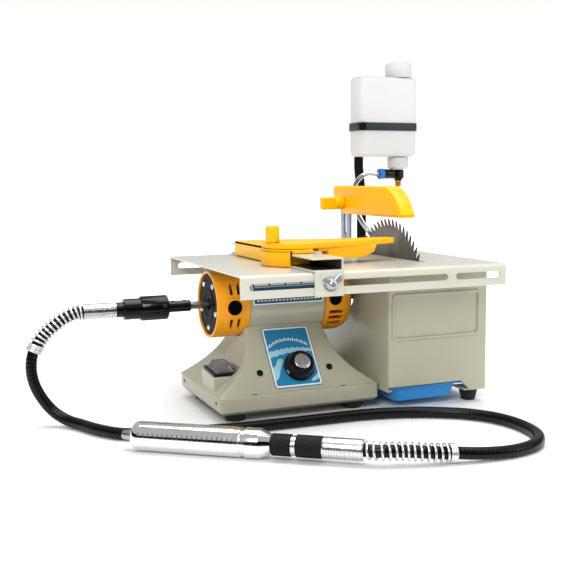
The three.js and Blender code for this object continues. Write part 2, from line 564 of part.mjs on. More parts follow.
function gaugeCarriage() {
  const left = FENCE_X[0] - GAP - GAUGE_X;
  const tongue = box([left - 1, 8], [-24, 126], [FENCE_BASE_Z + SHEET + GAP, FENCE_TOP - SHEET - GAP]);
  const disc = rod('z', TABLE_TOP + GAP, GAUGE_TOP, 0, 0, GAUGE_R, GAUGE_R, 32);
  const sideHalf = disc.intersect(box([-60, left], [-60, 60], [100, 200]));
  const overHalf = disc.intersect(join(box([-60, 9], [-60, 60], [FENCE_TOP + GAP, 200]),
    box([8, 15], [-10, 60], [FENCE_TOP + GAP, 200])));
  const rear = join(box([left - 3, left], [0, 128], [TABLE_TOP + 1.5, GAUGE_TOP]),
    box([left - 3, 15], [20, 128], [FENCE_TOP + GAP, GAUGE_TOP]));
  return cut(join(tongue, sideHalf, overHalf, rear), rod('z', 160, 180, ...KNOB_AT, 2.9),
    rod('z', 160, 180, 0, 0, 3.3));
}

// The swinging arm: a round hub, a tapered bar and a thick pad under it, drawn before it is turned.
function gaugeArm() {
  const shape = new THREE.Shape();
  shape.moveTo(10, -30);
  shape.lineTo(116, -24);
  shape.lineTo(116, -9);
  shape.lineTo(60, 6);
  shape.lineTo(24, 19);
  shape.absarc(0, 0, GAUGE_R - 1, 0.7, Math.PI * 1.6);
  const arm = plate('xy', shape, [GAUGE_TOP + GAP, ARM_TOP], 14);
  const padOutline = [[13, GAUGE_TOP + 1], [13, FENCE_TOP + 1], [26, FENCE_TOP + 1], [26, 158], [72, 158], [86, 163],
    [90, GAUGE_TOP + 1]];
  const pad = plate('xz', padOutline, [-26, -14]);
  const slot = new THREE.Shape();
  const [reach, middle] = [Math.hypot(...KNOB_AT), Math.atan2(KNOB_AT[1], KNOB_AT[0]) - deg(GAUGE_SWING)];
  slot.absarc(0, 0, reach + 2.9, middle - 0.33, middle + 0.4);
  slot.absarc(0, 0, reach - 2.9, middle + 0.4, middle - 0.33, true);
  return cut(join(arm, pad), plate('xy', slot, [150, 200]), rod('z', 150, 200, 0, 0, 3.3));
}

part(gauge, 'gauge_carriage', gaugeCarriage(), yellow);
const arm = part(gauge, 'gauge_arm', gaugeArm(), yellow);
arm.rotation.z = deg(GAUGE_SWING);
part(gauge, 'gauge_knob', join(rod('z', ARM_TOP + GAP, ARM_TOP + 16.5, 0, 0, 7.2, 7, 24),
  rod('z', FENCE_TOP + 1, ARM_TOP + 1, 0, 0, 2.5, 2.5, 16)), yellow, ...KNOB_AT, 0);
part(gauge, 'gauge_pivot', rod('z', FENCE_TOP + 0.8, ARM_TOP - 0.4, 0, 0, 2.9, 2.9, 16), steel);

// ---------------------------------------------------------------- flexible shaft and handpiece
part(motor, 'coupling_housing', cut(
  turned([[-120.5, 0], [-120.5, 8], [-88.2, 8], [-88.2, 7.6], [-80, 7.6], [-80, 10.6], [-63.2, 10.6], [-63.2, 12.4],
    [-35.2, 12.4], [-35.2, 0]], 20),
  rod('x', -60, -30, 0, 0, 4.4), rod('x', -130, -90, 0, 0, SHEATH_R + 0.4)), black);

// The shaft's route: out of the coupling, down in a loose arc, along the floor behind the handpiece,
// round to the right and back into the handpiece's tail.
const TAIL = [HAND_START[0] + HAND_LENGTH * Math.cos(deg(HAND_TURN)),
  HAND_START[1] + HAND_LENGTH * Math.sin(deg(HAND_TURN))];
const FLOOR = SHEATH_R + 0.3;
const SHEATH = [[-104, 127, 110.5], [-125, 127, 110.2], [-138.5, 127, 105.4], [-151.5, 127, 96.6], [-162.3, 127, 86.5],
  [-169.2, 127, 74.5], [-172, 126.5, 60], [-170, 125.5, 44], [-163.5, 124, 29], [-153.5, 120, 15.5],
  [-142, 111, 7.6], [-131, 94, FLOOR], [-119.5, 70, FLOOR], [-103, 48, FLOOR], [-76, 35, FLOOR], [-40, 27, FLOOR],
  [0, 21.5, FLOOR], [45, 19.5, FLOOR], [92, 18.5, FLOOR], [132, 17, FLOOR], [170, 9.5, FLOOR], [204, -4.5, FLOOR],
  [232, -25, FLOOR], [248.5, -51, FLOOR], [253, -82, FLOOR], [246, -113, FLOOR], [227, -134, FLOOR],
  [199, -143, FLOOR], [170, -142.5, 7], [142, -137.5, 9.3], [118, -132.3, 11.4], [97, -124.5, 12.7],
  [TAIL[0] + 12, TAIL[1] - 8.8, 13.3], [TAIL[0] - 6, TAIL[1] + 4.5, HAND_R]];
const MOTOR_SPRING = [[-121.2, 127, 110.5], ...SHEATH.slice(1, 6)];
const HAND_SPRING = [...SHEATH.slice(29, 33), [TAIL[0] + 0.6, TAIL[1] - 0.5, HAND_R]];

part(machine, 'flex_sheath', tubeAlong(SHEATH, SHEATH_R, 64, 8), rubber);
part(machine, 'spring_motor_end', tubeAlong(MOTOR_SPRING, SPRING_R, 9, 8, SHEATH_R + 1), chrome);
part(machine, 'spring_hand_end', tubeAlong(HAND_SPRING, SPRING_R, 9, 8, SHEATH_R + 1), chrome);

const hand = group(machine, HAND_START[0], HAND_START[1], HAND_R);
hand.rotation.z = deg(HAND_TURN);
part(hand, 'handpiece_body', cut(
  turned([[0, 0], [0, 11], [2, HAND_R - 0.4], [8, HAND_R], [99, HAND_R], [100.5, HAND_R - 1], [103, HAND_R - 1],
    [104.5, HAND_R], [117.3, HAND_R], [127, 8.6], [127, 0]], 24),
  rod('x', -5, 132, 0, 0, 4.4)), chrome);
part(hand, 'handpiece_grip', cut(
  turned([[127.3, 0], [127.3, 9.6], [144.5, 9.6], [145, 8.6], [148, 8.6], [148.5, 9.8], [171.6, 9.8], [172, 9.5],
    [HAND_LENGTH, 9.3], [HAND_LENGTH, 0]], 20),
  rod('x', 120, 150, 0, 0, 4.4), rod('x', 190, HAND_LENGTH + 2, 0, 0, SHEATH_R + 0.5)), black);
part(hand, 'handpiece_chuck', join(
  rod('x', -11.5, -0.4, 0, 0, 3.6, 5.2), rod('x', -1, 140, 0, 0, 3.8, 3.8, 16)), steel);

// ---------------------------------------------------------------- the whole, centred over its footprint
const CORDS = ['flex_sheath', 'drip_tube'];
machine.updateMatrixWorld(true);
const bounds = new THREE.Box3();
machine.traverse((mesh) => {
  if (mesh.isMesh && !CORDS.includes(mesh.name)) bounds.expandByObject(mesh, true);
});
const middle = bounds.getCenter(new THREE.Vector3());
machine.position.set(-middle.x, -middle.y, -bounds.min.z);
const saw = new THREE.Group();
saw.add(machine);

export default saw;
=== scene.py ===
import bpy
import bmesh
import math
from mathutils import Matrix, Vector


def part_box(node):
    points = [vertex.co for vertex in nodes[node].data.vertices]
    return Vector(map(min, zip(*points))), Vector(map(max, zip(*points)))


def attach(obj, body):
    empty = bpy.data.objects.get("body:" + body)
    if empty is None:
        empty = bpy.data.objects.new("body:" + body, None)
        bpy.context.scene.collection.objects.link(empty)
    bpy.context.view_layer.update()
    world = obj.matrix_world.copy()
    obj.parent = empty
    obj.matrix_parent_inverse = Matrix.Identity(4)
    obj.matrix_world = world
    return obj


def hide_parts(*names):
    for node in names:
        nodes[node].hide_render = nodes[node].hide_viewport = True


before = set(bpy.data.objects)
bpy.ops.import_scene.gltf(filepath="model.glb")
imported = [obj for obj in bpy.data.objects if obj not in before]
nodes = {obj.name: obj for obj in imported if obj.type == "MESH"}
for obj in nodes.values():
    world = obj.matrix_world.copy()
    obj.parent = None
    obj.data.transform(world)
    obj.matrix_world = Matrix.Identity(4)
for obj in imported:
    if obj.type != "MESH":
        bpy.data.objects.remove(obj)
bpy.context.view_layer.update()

# ---------------------------------------------------------------- frame
# Machine coordinates: millimetres from the saw table's front left corner, Z from the floor.
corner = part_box("saw_table")[0]
MACHINE = Matrix.Translation((corner.x, corner.y, 0)) @ Matrix.Scale(0.001, 4)
AXIS_Y, AXIS_Z = 127, 110.5
MOTOR = MACHINE @ Matrix.Translation((0, AXIS_Y, AXIS_Z))
FACE = MACHINE @ Matrix.Translation((0, 54, 28)) @ Matrix.Rotation(math.atan2(60, 46), 4, "X")
SWITCH = MACHINE @ Matrix.Translation((12, 97.5, 45.1)) @ Matrix.Rotation(math.atan2(3.5, 41), 4, "X")
HAND = MACHINE @ Matrix.Translation((-97.8, 11.9, 13.3)) @ Matrix.Rotation(math.radians(-36.4), 4, "Z")
GAUGE = MACHINE @ Matrix.Translation((87, 83, 0))
ARM = GAUGE @ Matrix.Rotation(math.radians(11.3), 4, "Z")


def place(x, y, z):
    return MACHINE @ Vector((x, y, z))


def new_object(name, data):
    made = bpy.data.objects.new(name, data)
    bpy.context.scene.collection.objects.link(made)
    return made


# ---------------------------------------------------------------- camera
camera = new_object("camera", bpy.data.cameras.new("camera"))
right = Vector((0.92318, -0.38438, -0.00678))
up = Vector((0.05244, 0.10842, 0.99274))
back = Vector((-0.38083, -0.91680, 0.12024))
camera.matrix_world = Matrix.Translation((-0.34051, -0.82180, 0.2409)) @ Matrix(
    (right, up, back)).transposed().to_4x4()
camera.data.lens = 56.67
camera.data.sensor_width = 36
camera.data.clip_start = 0.02
bpy.context.scene.camera = camera
bpy.context.scene.view_settings.view_transform = "Standard"


# ---------------------------------------------------------------- materials
def srgb(code):
    values = [int(code[i:i + 2], 16) / 255 for i in (1, 3, 5)]
    return [v / 12.92 if v <= 0.04045 else ((v + 0.055) / 1.055) ** 2.4 for v in values] + [1]


class Nodes:
    """A small helper that adds and links shader nodes."""

    def __init__(self, name):
        self.material = bpy.data.materials.new(name)
        self.material.use_nodes = True
        self.tree = self.material.node_tree
        self.shader = self.tree.nodes["Principled BSDF"]
        self.place = self.add("ShaderNodeTexCoord").outputs["Object"]

    def add(self, kind, **values):
        node = self.tree.nodes.new(kind)
        for key, value in values.items():
            if hasattr(node, key):
                setattr(node, key, value)
            else:
                node.inputs[key.replace("_", " ")].default_value = value
        return node

    def link(self, output, socket):
        self.tree.links.new(output, socket)

    def drive(self, output, socket):
        self.link(output, self.shader.inputs[socket])

    def fix(self, **sockets):
        for key, value in sockets.items():
            self.shader.inputs[key.replace("_", " ")].default_value = value

    def noise(self, scale, detail=3, stretch=None, rough=0.55):
        node = self.add("ShaderNodeTexNoise", Scale=scale, Detail=detail, Roughness=rough)
        source = self.place
        if stretch:
            mapping = self.add("ShaderNodeMapping", Scale=stretch)
            self.link(source, mapping.inputs["Vector"])
            source = mapping.outputs["Vector"]
        self.link(source, node.inputs["Vector"])
        return node.outputs["Fac"]

    def span(self, value, low, high, start=0.3, end=0.7):
        node = self.add("ShaderNodeMapRange", From_Min=start, From_Max=end, To_Min=low, To_Max=high)
        self.link(value, node.inputs["Value"])
        return node.outputs["Result"]

    def colours(self, value, first, second, start=0.3, end=0.7):
        ramp = self.add("ShaderNodeValToRGB")
        ramp.color_ramp.elements[0].position = start
        ramp.color_ramp.elements[1].position = end
        ramp.color_ramp.elements[0].color = first
        ramp.color_ramp.elements[1].color = second
        self.link(value, ramp.inputs["Fac"])
        return ramp.outputs["Color"]

    def bump(self, value, distance, strength=1.0, after=None):
        node = self.add("ShaderNodeBump", Strength=strength, Distance=distance)
        self.link(value, node.inputs["Height"])
        if after:
            self.link(after, node.inputs["Normal"])
        return node.outputs["Normal"]


def shade(colour, factor):
    return [min(1, max(0, c * factor)) for c in colour[:3]] + [1]


def finish(name, code, rough, metal=0.0, spread=0.05, grain=420, bump=0.00004, blotch=14, stretch=None,
           rough_spread=0.06, edge_wear_and_highlight=0.0, **sockets):
    """A moulded, painted or metal surface: blotches and grain in colour, roughness and relief, with sharp
    edges lightened, partly as wear and partly as a painted highlight.
    """
    n = Nodes(name)
    base = srgb(code)
    blotches = n.noise(blotch, 4)
    fine = n.noise(grain, 3, stretch)
    tone = n.colours(blotches, shade(base, 1 - spread), shade(base, 1 + spread))
    # Sharp edges found by pointiness are lightened: partly paint wear, partly a painted highlight along the
    # edges.
    if edge_wear_and_highlight:
        edge = n.add("ShaderNodeNewGeometry").outputs["Pointiness"]
        worn_and_highlighted_edges = n.span(edge, 0, edge_wear_and_highlight, 0.53, 0.62)
        mix = n.add("ShaderNodeMix", data_type="RGBA")
        n.link(worn_and_highlighted_edges, mix.inputs["Factor"])
        n.link(tone, mix.inputs[6])
        mix.inputs[7].default_value = shade(base, 1.25)
        tone = mix.outputs[2]
    n.drive(tone, "Base Color")
    n.drive(n.span(fine, rough - rough_spread, rough + rough_spread), "Roughness")
    n.fix(Metallic=metal)
    n.drive(n.bump(fine, bump), "Normal")
    n.fix(**sockets)
    return n.material


def turned_metal(name, code, rough, rings=900, depth=0.00003, axis="X", spread=0.12, metal=1.0):
    """Metal with fine turning marks across an axis."""
    n = Nodes(name)
    base = srgb(code)
    stretch = {"X": (rings, 6, 6), "Y": (6, rings, 6), "Z": (6, 6, rings)}[axis]
    marks = n.noise(1, 2, stretch)
    cloud = n.noise(60, 4)
    n.drive(n.colours(marks, shade(base, 1 - spread), shade(base, 1 + spread * 0.5)), "Base Color")
    n.drive(n.span(cloud, rough - 0.05, rough + 0.07), "Roughness")
    n.fix(Metallic=metal)
    n.drive(n.bump(marks, depth), "Normal")
    return n.material


CREAM = finish("cream_enamel", "#ABA993", 0.36, spread=0.03, grain=900, bump=0.00005, edge_wear_and_highlight=0.5,
               Coat_Weight=0.25, Coat_Roughness=0.3)
# Painted light: a lighter copy of the cream enamel for the upward-facing table and the fence.
CREAM_LIT_TOP = finish("cream_enamel_painted_lit_top", "#C3C1B4", 0.24, spread=0.03, grain=900, bump=0.000015, edge_wear_and_highlight=0.6,
                   Coat_Weight=0.35, Coat_Roughness=0.25)
CREAM_MOTOR = finish("cream_motor", "#A9A794", 0.24, spread=0.02, grain=700, bump=0.00003, edge_wear_and_highlight=0.3,
                     Coat_Weight=0.4, Coat_Roughness=0.15)
COVER = finish("cover_plate", "#77746A", 0.5, metal=0.2, spread=0.1)
YELLOW = finish("yellow_moulding", "#F9B402", 0.3, spread=0.03, grain=700, bump=0.00003, edge_wear_and_highlight=0.35,
                Specular_IOR_Level=0.25)
ORANGE = finish("orange_moulding", "#EA9A16", 0.35, spread=0.04, grain=700, bump=0.00003, edge_wear_and_highlight=0.3,
                Specular_IOR_Level=0.4)
BLUE = finish("blue_moulding", "#1B86CC", 0.33, spread=0.04, grain=500, bump=0.00003, edge_wear_and_highlight=0.3)
BLACK = finish("black_moulding", "#08090A", 0.34, spread=0.15, grain=1100, bump=0.00003, edge_wear_and_highlight=0.5,
               Specular_IOR_Level=0.17)
GLOSS_BLACK = finish("gloss_black", "#050506", 0.2, spread=0.15, grain=600, bump=0.00001,
                     Specular_IOR_Level=0.3)
RECESS = finish("recess_black", "#040404", 0.55, spread=0.1, grain=900, bump=0.00002, Specular_IOR_Level=0.08)
RUBBER = finish("foot_rubber", "#121314", 0.72, spread=0.2, grain=700, bump=0.00008)
SHEATH_RUBBER = finish("sheath_rubber", "#030304", 0.28, spread=0.2, grain=900, bump=0.00001,
                       Specular_IOR_Level=0.22)
WHITE_PRINT = finish("white_print", "#E9EDEF", 0.4, spread=0.03, grain=900, bump=0.00001)
PLATE_BLUE = finish("plate_blue", "#1779A8", 0.35, spread=0.06, grain=800, bump=0.00002)
PLATE_LIGHT = finish("plate_light", "#9CCBDD", 0.38, spread=0.05, grain=800, bump=0.00002)
PLATE_NAVY = finish("plate_navy", "#1C4F6C", 0.35, spread=0.08, grain=800, bump=0.00002)
STEEL = turned_metal("turned_steel", "#A9ACB0", 0.28)
STEEL_Z = turned_metal("steel_z", "#A9ACB0", 0.3, axis="Z")
GALVANISED = finish("galvanised", "#98A3B2", 0.38, metal=0.85, spread=0.14, grain=300, blotch=160,
                    bump=0.00003)
# Painted shade: a dark brown-black for the fence channel's inner faces.
CHANNEL_SHADE = finish("channel_painted_shade", "#3A342C", 0.5, spread=0.12, grain=500)
CHROME = turned_metal("polished_chrome", "#E8EAEC", 0.1, rings=1400, depth=0.0000006, spread=0.04)
FERRULE = turned_metal("ribbed_ferrule", "#D8DADD", 0.24, rings=1000, depth=0.000003)
SPRING = finish("spring_wire", "#E6E8EA", 0.3, metal=0.9, spread=0.1, grain=1500, blotch=80, bump=0.00001)
BRASS = finish("brass", "#D9B878", 0.28, metal=1.0, spread=0.12, grain=800, blotch=90, bump=0.00002)
BLUE_RING = finish("blue_ring", "#1C6FD0", 0.3, spread=0.05)
COPPER = finish("copper_winding", "#B06A34", 0.35, metal=0.9, spread=0.2, grain=300, stretch=(40, 900, 900))
CARBON = finish("carbon_brush", "#202020", 0.6, spread=0.2, grain=1200)
CORE = finish("laminated_core", "#71757A", 0.42, metal=0.9, spread=0.12, grain=1, stretch=(2600, 4, 4))
BOARD = finish("circuit_board", "#1C5A36", 0.4, spread=0.15, grain=500, blotch=120)
STRAP = finish("strap_grey", "#2D2F33", 0.36, spread=0.15, grain=800, Specular_IOR_Level=0.3)


def bottle_plastic(name, code, clear):
    """Milky plastic that scatters light, with painted shade darkening the upward faces, with a share of
    clearness.
    """
    n = Nodes(name)
    base = srgb(code)
    cloud = n.noise(26, 4)
    fine = n.noise(300, 3)
    # Painted shade: faces turned upward are multiplied towards grey.
    lit = n.add("ShaderNodeSeparateXYZ")
    n.link(n.add("ShaderNodeNewGeometry").outputs["Normal"], lit.inputs[0])
    painted_top_shade = n.add("ShaderNodeMixRGB", blend_type="MULTIPLY")
    n.link(n.span(lit.outputs["Z"], 0.0, 1.0, 0.15, 0.85), painted_top_shade.inputs["Fac"])
    n.link(n.colours(cloud, shade(base, 0.97), shade(base, 1.03)), painted_top_shade.inputs["Color1"])
    painted_top_shade.inputs["Color2"].default_value = (0.66, 0.67, 0.68, 1.0)
    n.drive(painted_top_shade.outputs["Color"], "Base Color")
    n.drive(n.span(fine, 0.3, 0.42), "Roughness")
    n.fix(Subsurface_Weight=0.2)
    n.fix(Subsurface_Scale=0.012)
    n.fix(Transmission_Weight=clear)
    n.fix(IOR=1.35)
    n.drive(n.bump(fine, 0.00003), "Normal")
    return n.material


def clear_plastic(name, code, rough):
    """Clear moulded plastic, a little cloudy and scratched."""
    n = Nodes(name)
    base = srgb(code)
    fine = n.noise(500, 3)
    n.drive(n.colours(n.noise(90, 3), shade(base, 0.94), base), "Base Color")
    n.drive(n.span(fine, rough, rough + 0.08), "Roughness")
    n.fix(Transmission_Weight=0.92)
    n.fix(IOR=1.45)
    n.drive(n.bump(fine, 0.00002), "Normal")
    return n.material


BOTTLE = bottle_plastic("milky_bottle", "#CFD1D2", 0.05)
MILKY_CAP = bottle_plastic("milky_cap", "#CACCCC", 0.02)
CLEAR = clear_plastic("clear_plastic", "#F4F7F8", 0.03)
TUBE_CLEAR = clear_plastic("tube_plastic", "#EEF3F5", 0.12)


def blade_steel():
    """Ground steel: rings round the arbor, a painted reflection in broad blotches from dark to bright steel,
    darker towards one side, with fine scratches.
    """
    n = Nodes("blade_steel")
    base = srgb("#5B5750")
    arbor = place(0, AXIS_Y, AXIS_Z)
    hub = n.add("ShaderNodeMapping", Location=(0, -arbor.y, -arbor.z))
    n.link(n.place, hub.inputs["Vector"])
    rings = n.add("ShaderNodeTexWave", wave_type="RINGS", rings_direction="X", Scale=260, Distortion=2.5,
                  Detail=2, Detail_Scale=4)
    n.link(hub.outputs["Vector"], rings.inputs["Vector"])
    cloud = n.noise(22, 5)
    scratch = n.noise(1, 3, (10, 900, 60))
    # Painted reflection: a broad cloud from much darker to much lighter steel.
    n.drive(n.colours(cloud, shade(base, 0.62), shade(base, 1.9)), "Base Color")
    n.drive(n.span(scratch, 0.26, 0.5), "Roughness")
    n.fix(Metallic=1.0)
    n.drive(n.bump(scratch, 0.00003, after=n.bump(rings.outputs["Fac"], 0.00002)), "Normal")
    return n.material


BLADE = blade_steel()


# ---------------------------------------------------------------- mesh helpers
def add_piece(shape, name, material, replaces=None, body="machine", matrix=MACHINE, smooth=30,
              bevel=0.0, segments=2):
    """Links a bmesh, or a carved mesh, as one piece on a body; smooth is in degrees, bevel in millimetres."""
    mesh = shape if isinstance(shape, bpy.types.Mesh) else to_mesh(name, shape, matrix)
    piece = new_object(name, mesh)
    mesh.materials.append(material)
    if bevel:
        rounding = piece.modifiers.new("rounding", "BEVEL")
        rounding.width = bevel / 1000
        rounding.segments = segments
        rounding.limit_method = "ANGLE"
        rounding.angle_limit = math.radians(35)
    for polygon in mesh.polygons:
        polygon.use_smooth = True
    mesh.set_sharp_from_angle(angle=math.radians(smooth))
    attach(piece, body)
    if replaces:
        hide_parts(replaces)
    return piece


def to_mesh(name, bm, matrix=MACHINE):
    bmesh.ops.remove_doubles(bm, verts=bm.verts, dist=1e-4)
    bmesh.ops.recalc_face_normals(bm, faces=bm.faces)
    bm.transform(matrix)
    mesh = bpy.data.meshes.new(name)
    bm.to_mesh(mesh)
    bm.free()
    return mesh


def loft(bm, rings, closed=False, caps=True):
    """Skins a list of rings, each a list of points; returns the new faces."""
    rows = [[bm.verts.new(p) for p in ring] for ring in rings]
    faces = []
    pairs = list(zip(rows, rows[1:])) + ([(rows[-1], rows[0])] if closed else [])
    for a, b in pairs:
        for i in range(len(a)):
            j = (i + 1) % len(a)
            faces.append(bm.faces.new((a[i], a[j], b[j], b[i])))
    if caps and not closed:
        faces.append(bm.faces.new(list(reversed(rows[0]))))
        faces.append(bm.faces.new(rows[-1]))
    return faces


AXES = {"x": lambda a, u, v: (a, u, v), "y": lambda a, u, v: (u, a, v), "z": lambda a, u, v: (u, v, a)}


def turn(bm, axis, profile, u=0, v=0, sides=40, wave=None, caps=True):
    """A turned piece about an axis through (u, v), from [place along it, radius] points."""
    rings = []
    for along, radius in profile:
        ring = []
        for i in range(sides):
            angle = 2 * math.pi * i / sides
            r = radius + (wave(angle, along) if wave else 0)
            ring.append(AXES[axis](along, u + r * math.cos(angle), v + r * math.sin(angle)))
        rings.append(ring)
    return loft(bm, rings, caps=caps)


def pipe(bm, axis, a, b, outer, inner, u=0, v=0, sides=40):
    """A hollow cylinder with a small chamfer at each end."""
    c = min(0.5, (outer - inner) / 4)
    profile = [(a + c, inner), (a, inner + c), (a, outer - c), (a + c, outer), (b - c, outer), (b, outer - c),
               (b, inner + c), (b - c, inner)]
    rings = [[AXES[axis](along, *spot) for spot in circle(u, v, radius, sides)] for along, radius in profile]
    return loft(bm, rings, closed=True)


def arc(u, v, radius, start, end, steps=5):
    """Points along an arc about (u, v), from one angle in degrees to another."""
    angles = [math.radians(start + (end - start) * i / steps) for i in range(steps + 1)]
    return [(u + radius * math.cos(a), v + radius * math.sin(a)) for a in angles]


def circle(u, v, radius, sides):
    return arc(u, v, radius, 0, 360 - 360 / sides, sides - 1)


def rounded(x, y, radius, steps=5):
    """Points of a rounded rectangle between two limits on each axis."""
    (x0, x1), (y0, y1) = x, y
    points = []
    for cx, cy, start in ((x1 - radius, y0 + radius, -90), (x1 - radius, y1 - radius, 0),
                          (x0 + radius, y1 - radius, 90), (x0 + radius, y0 + radius, 180)):
        points += arc(cx, cy, radius, start, start + 90, steps)
    return points


def prism(bm, plane, outline, a, b):
    """An outline in two axes, extruded along the third."""
    put = {"xy": lambda p, t: (p[0], p[1], t), "xz": lambda p, t: (p[0], t, p[1]),
           "yz": lambda p, t: (t, p[0], p[1])}[plane]
    return loft(bm, [[put(p, a) for p in outline], [put(p, b) for p in outline]])


def brick(bm, x, y, z):
    return prism(bm, "xy", [(x[0], y[0]), (x[1], y[0]), (x[1], y[1]), (x[0], y[1])], *z)


def sheet_cut(plane, outlines, a, b, edge=0.4):
    """A plate with holes: the first outline is the edge, the others are openings; returns a bmesh."""
    curve = bpy.data.curves.new("plate", "CURVE")
    curve.dimensions = "2D"
    curve.fill_mode = "BOTH"
    curve.extrude = max((b - a) / 2 - edge, 0.001)
    curve.bevel_depth = edge
    curve.bevel_resolution = 2
    curve.offset = -edge
    for outline in outlines:
        spline = curve.splines.new("POLY")
        spline.points.add(len(outline) - 1)
        for point, (x, y) in zip(spline.points, outline):
            point.co = (x, y, 0, 1)
        spline.use_cyclic_u = True
    holder = new_object("plate", curve)
    bpy.context.view_layer.update()
    graph = bpy.context.evaluated_depsgraph_get()
    made = bpy.data.meshes.new_from_object(holder.evaluated_get(graph))
    bpy.data.objects.remove(holder)
    bpy.data.curves.remove(curve)
    bm = bmesh.new()
    bm.from_mesh(made)
    bpy.data.meshes.remove(made)
    bmesh.ops.remove_doubles(bm, verts=bm.verts, dist=1e-3)
    turned = {"xy": Matrix.Identity(4),
              "xz": Matrix(((1, 0, 0, 0), (0, 0, 1, 0), (0, 1, 0, 0), (0, 0, 0, 1))),
              "yz": Matrix(((0, 0, 1, 0), (1, 0, 0, 0), (0, 1, 0, 0), (0, 0, 0, 1)))}[plane]
    bm.transform(turned @ Matrix.Translation((0, 0, (a + b) / 2)))
    return bm


def ribs(points, count, start, step):
    """A repeating part of a turned profile: the same points, a step further each time."""
    return [(start + step * i + along, radius) for i in range(count) for along, radius in points]


def flutes(count, depth, low, high):
    """A wave for turn: grooves round a knob between two heights."""
    return lambda angle, z: -depth * max(0, math.cos(count * angle)) if low < z < high else 0


def solid(draw, *sizes, **options):
    """A new bmesh with one shape in it."""
    bm = bmesh.new()
    draw(bm, *sizes, **options)
    return bm


def merge(bm, other):
    mesh = bpy.data.meshes.new("merge")
    other.to_mesh(mesh)
    other.free()
    bm.from_mesh(mesh)
    bpy.data.meshes.remove(mesh)


def carve(name, shape, cutters, matrix=MACHINE):
    """Subtracts closed bmeshes from a bmesh, all drawn in that frame, and returns the result as a mesh."""
    body = new_object("carve", to_mesh(name, shape, matrix))
    tools = []
    for index, tool in enumerate(cutters):
        cutter = new_object("tool", to_mesh("tool", tool, matrix))
        tools.append(cutter)
        boolean = body.modifiers.new(f"cut_{index}", "BOOLEAN")
        boolean.object = cutter
        boolean.operation = "DIFFERENCE"
        boolean.solver = "EXACT"
    bpy.context.view_layer.update()
    graph = bpy.context.evaluated_depsgraph_get()
    result = bpy.data.meshes.new_from_object(body.evaluated_get(graph))
    for each in [body] + tools:
        bpy.data.objects.remove(each)
    return result


def between(a, b, start, end, u):
    return a * ((end - u) / (end - start)) + b * ((u - start) / (end - start))


def spline(points, step):
    """Centripetal Catmull-Rom through the points, sampled at about one step apart."""
    p = [Vector(q) for q in points]
    p = [2 * p[0] - p[1]] + p + [2 * p[-1] - p[-2]]
    line = []
    for i in range(1, len(p) - 2):
        t = [0]
        for a, b in zip(p[i - 1:i + 3], p[i:i + 3]):
            t.append(t[-1] + max((b - a).length, 1e-6) ** 0.5)
        count = max(2, round((p[i + 1] - p[i]).length / step))
        for k in range(count):
            u = t[1] + (t[2] - t[1]) * k / count
            near = [between(p[i - 1 + j], p[i + j], t[j], t[j + 1], u) for j in range(3)]
            next_pair = [between(near[j], near[j + 1], t[j], t[j + 2], u) for j in range(2)]
            line.append(between(*next_pair, t[1], t[2], u))
    line.append(p[-2])
    return line


def frames(line):
    """A moving pair of axes across a line that doesn't twist."""
    tangents = []
    for i in range(len(line)):
        tangents.append((line[min(i + 1, len(line) - 1)] - line[max(i - 1, 0)]).normalized())
    side = tangents[0].cross(Vector((0, 0, 1)))
    if side.length < 0.1:
        side = tangents[0].cross(Vector((0, 1, 0)))
    axes = []
    for t in tangents:
        side = (side - t * side.dot(t)).normalized()
        axes.append((side.copy(), t.cross(side)))
    return axes


def sweep(bm, line, radius, sides=10, caps=True):
    """A tube along a line; radius is a number or a function of the place's index."""
    rings = []
    for i, (point, (side, over)) in enumerate(zip(line, frames(line))):
        r = radius(i) if callable(radius) else radius
        rings.append([point + side * (r * math.cos(2 * math.pi * k / sides))
                      + over * (r * math.sin(2 * math.pi * k / sides)) for k in range(sides)])
    return loft(bm, rings, caps=caps)


def helix(line, radius, turns, per_turn=18):
    """Points of a coil round a line."""
    count = int(turns * per_turn)
    axes = frames(line)
    points = []
    for i in range(count + 1):
        at = i / count * (len(line) - 1)
        low = min(int(at), len(line) - 2)
        part = at - low
        centre = line[low].lerp(line[low + 1], part)
        side = axes[low][0].lerp(axes[low + 1][0], part).normalized()
        over = axes[low][1].lerp(axes[low + 1][1], part).normalized()
        angle = 2 * math.pi * turns * i / count
        points.append(centre + side * (radius * math.cos(angle)) + over * (radius * math.sin(angle)))
    return points


# ---------------------------------------------------------------- cords
SHEATH_R = 5.55
SPRING_R = 7.25
WIRE_R = 1.1
SHEATH = [
    (-104, 127, 110.5), (-125, 127, 110.2), (-138.5, 127, 105.4), (-151.5, 127, 96.6), (-162.3, 127, 86.5),
    (-169.2, 127, 74.5), (-172, 126.5, 60), (-170, 125.5, 44), (-163.5, 124, 29), (-153.5, 120, 15.5),
    (-142, 111, 7.6), (-131, 94, 6), (-119.5, 70, 6), (-103, 48, 6), (-76, 35, 6), (-40, 27, 6), (0, 21.5, 6),
    (45, 19.5, 6), (92, 18.5, 6), (132, 17, 6), (170, 9.5, 6), (204, -4.5, 6), (232, -25, 6), (248.5, -51, 6),
    (253, -82, 6), (246, -113, 6), (227, -134, 6), (199, -143, 6), (170, -142.5, 7), (142, -137.5, 9.3),
    (118, -132.3, 11.4), (97, -124.5, 12.7), (80.98, -119.86, 13.3), (62.98, -106.56, 13.3)]
sheath_line = spline(SHEATH, 1.25)
bm = solid(sweep, sheath_line, lambda i: SHEATH_R if i % 3 else SHEATH_R - 0.25, 16)
sheath = add_piece(bm, "rubber_sheath", SHEATH_RUBBER, "flex_sheath", smooth=60)

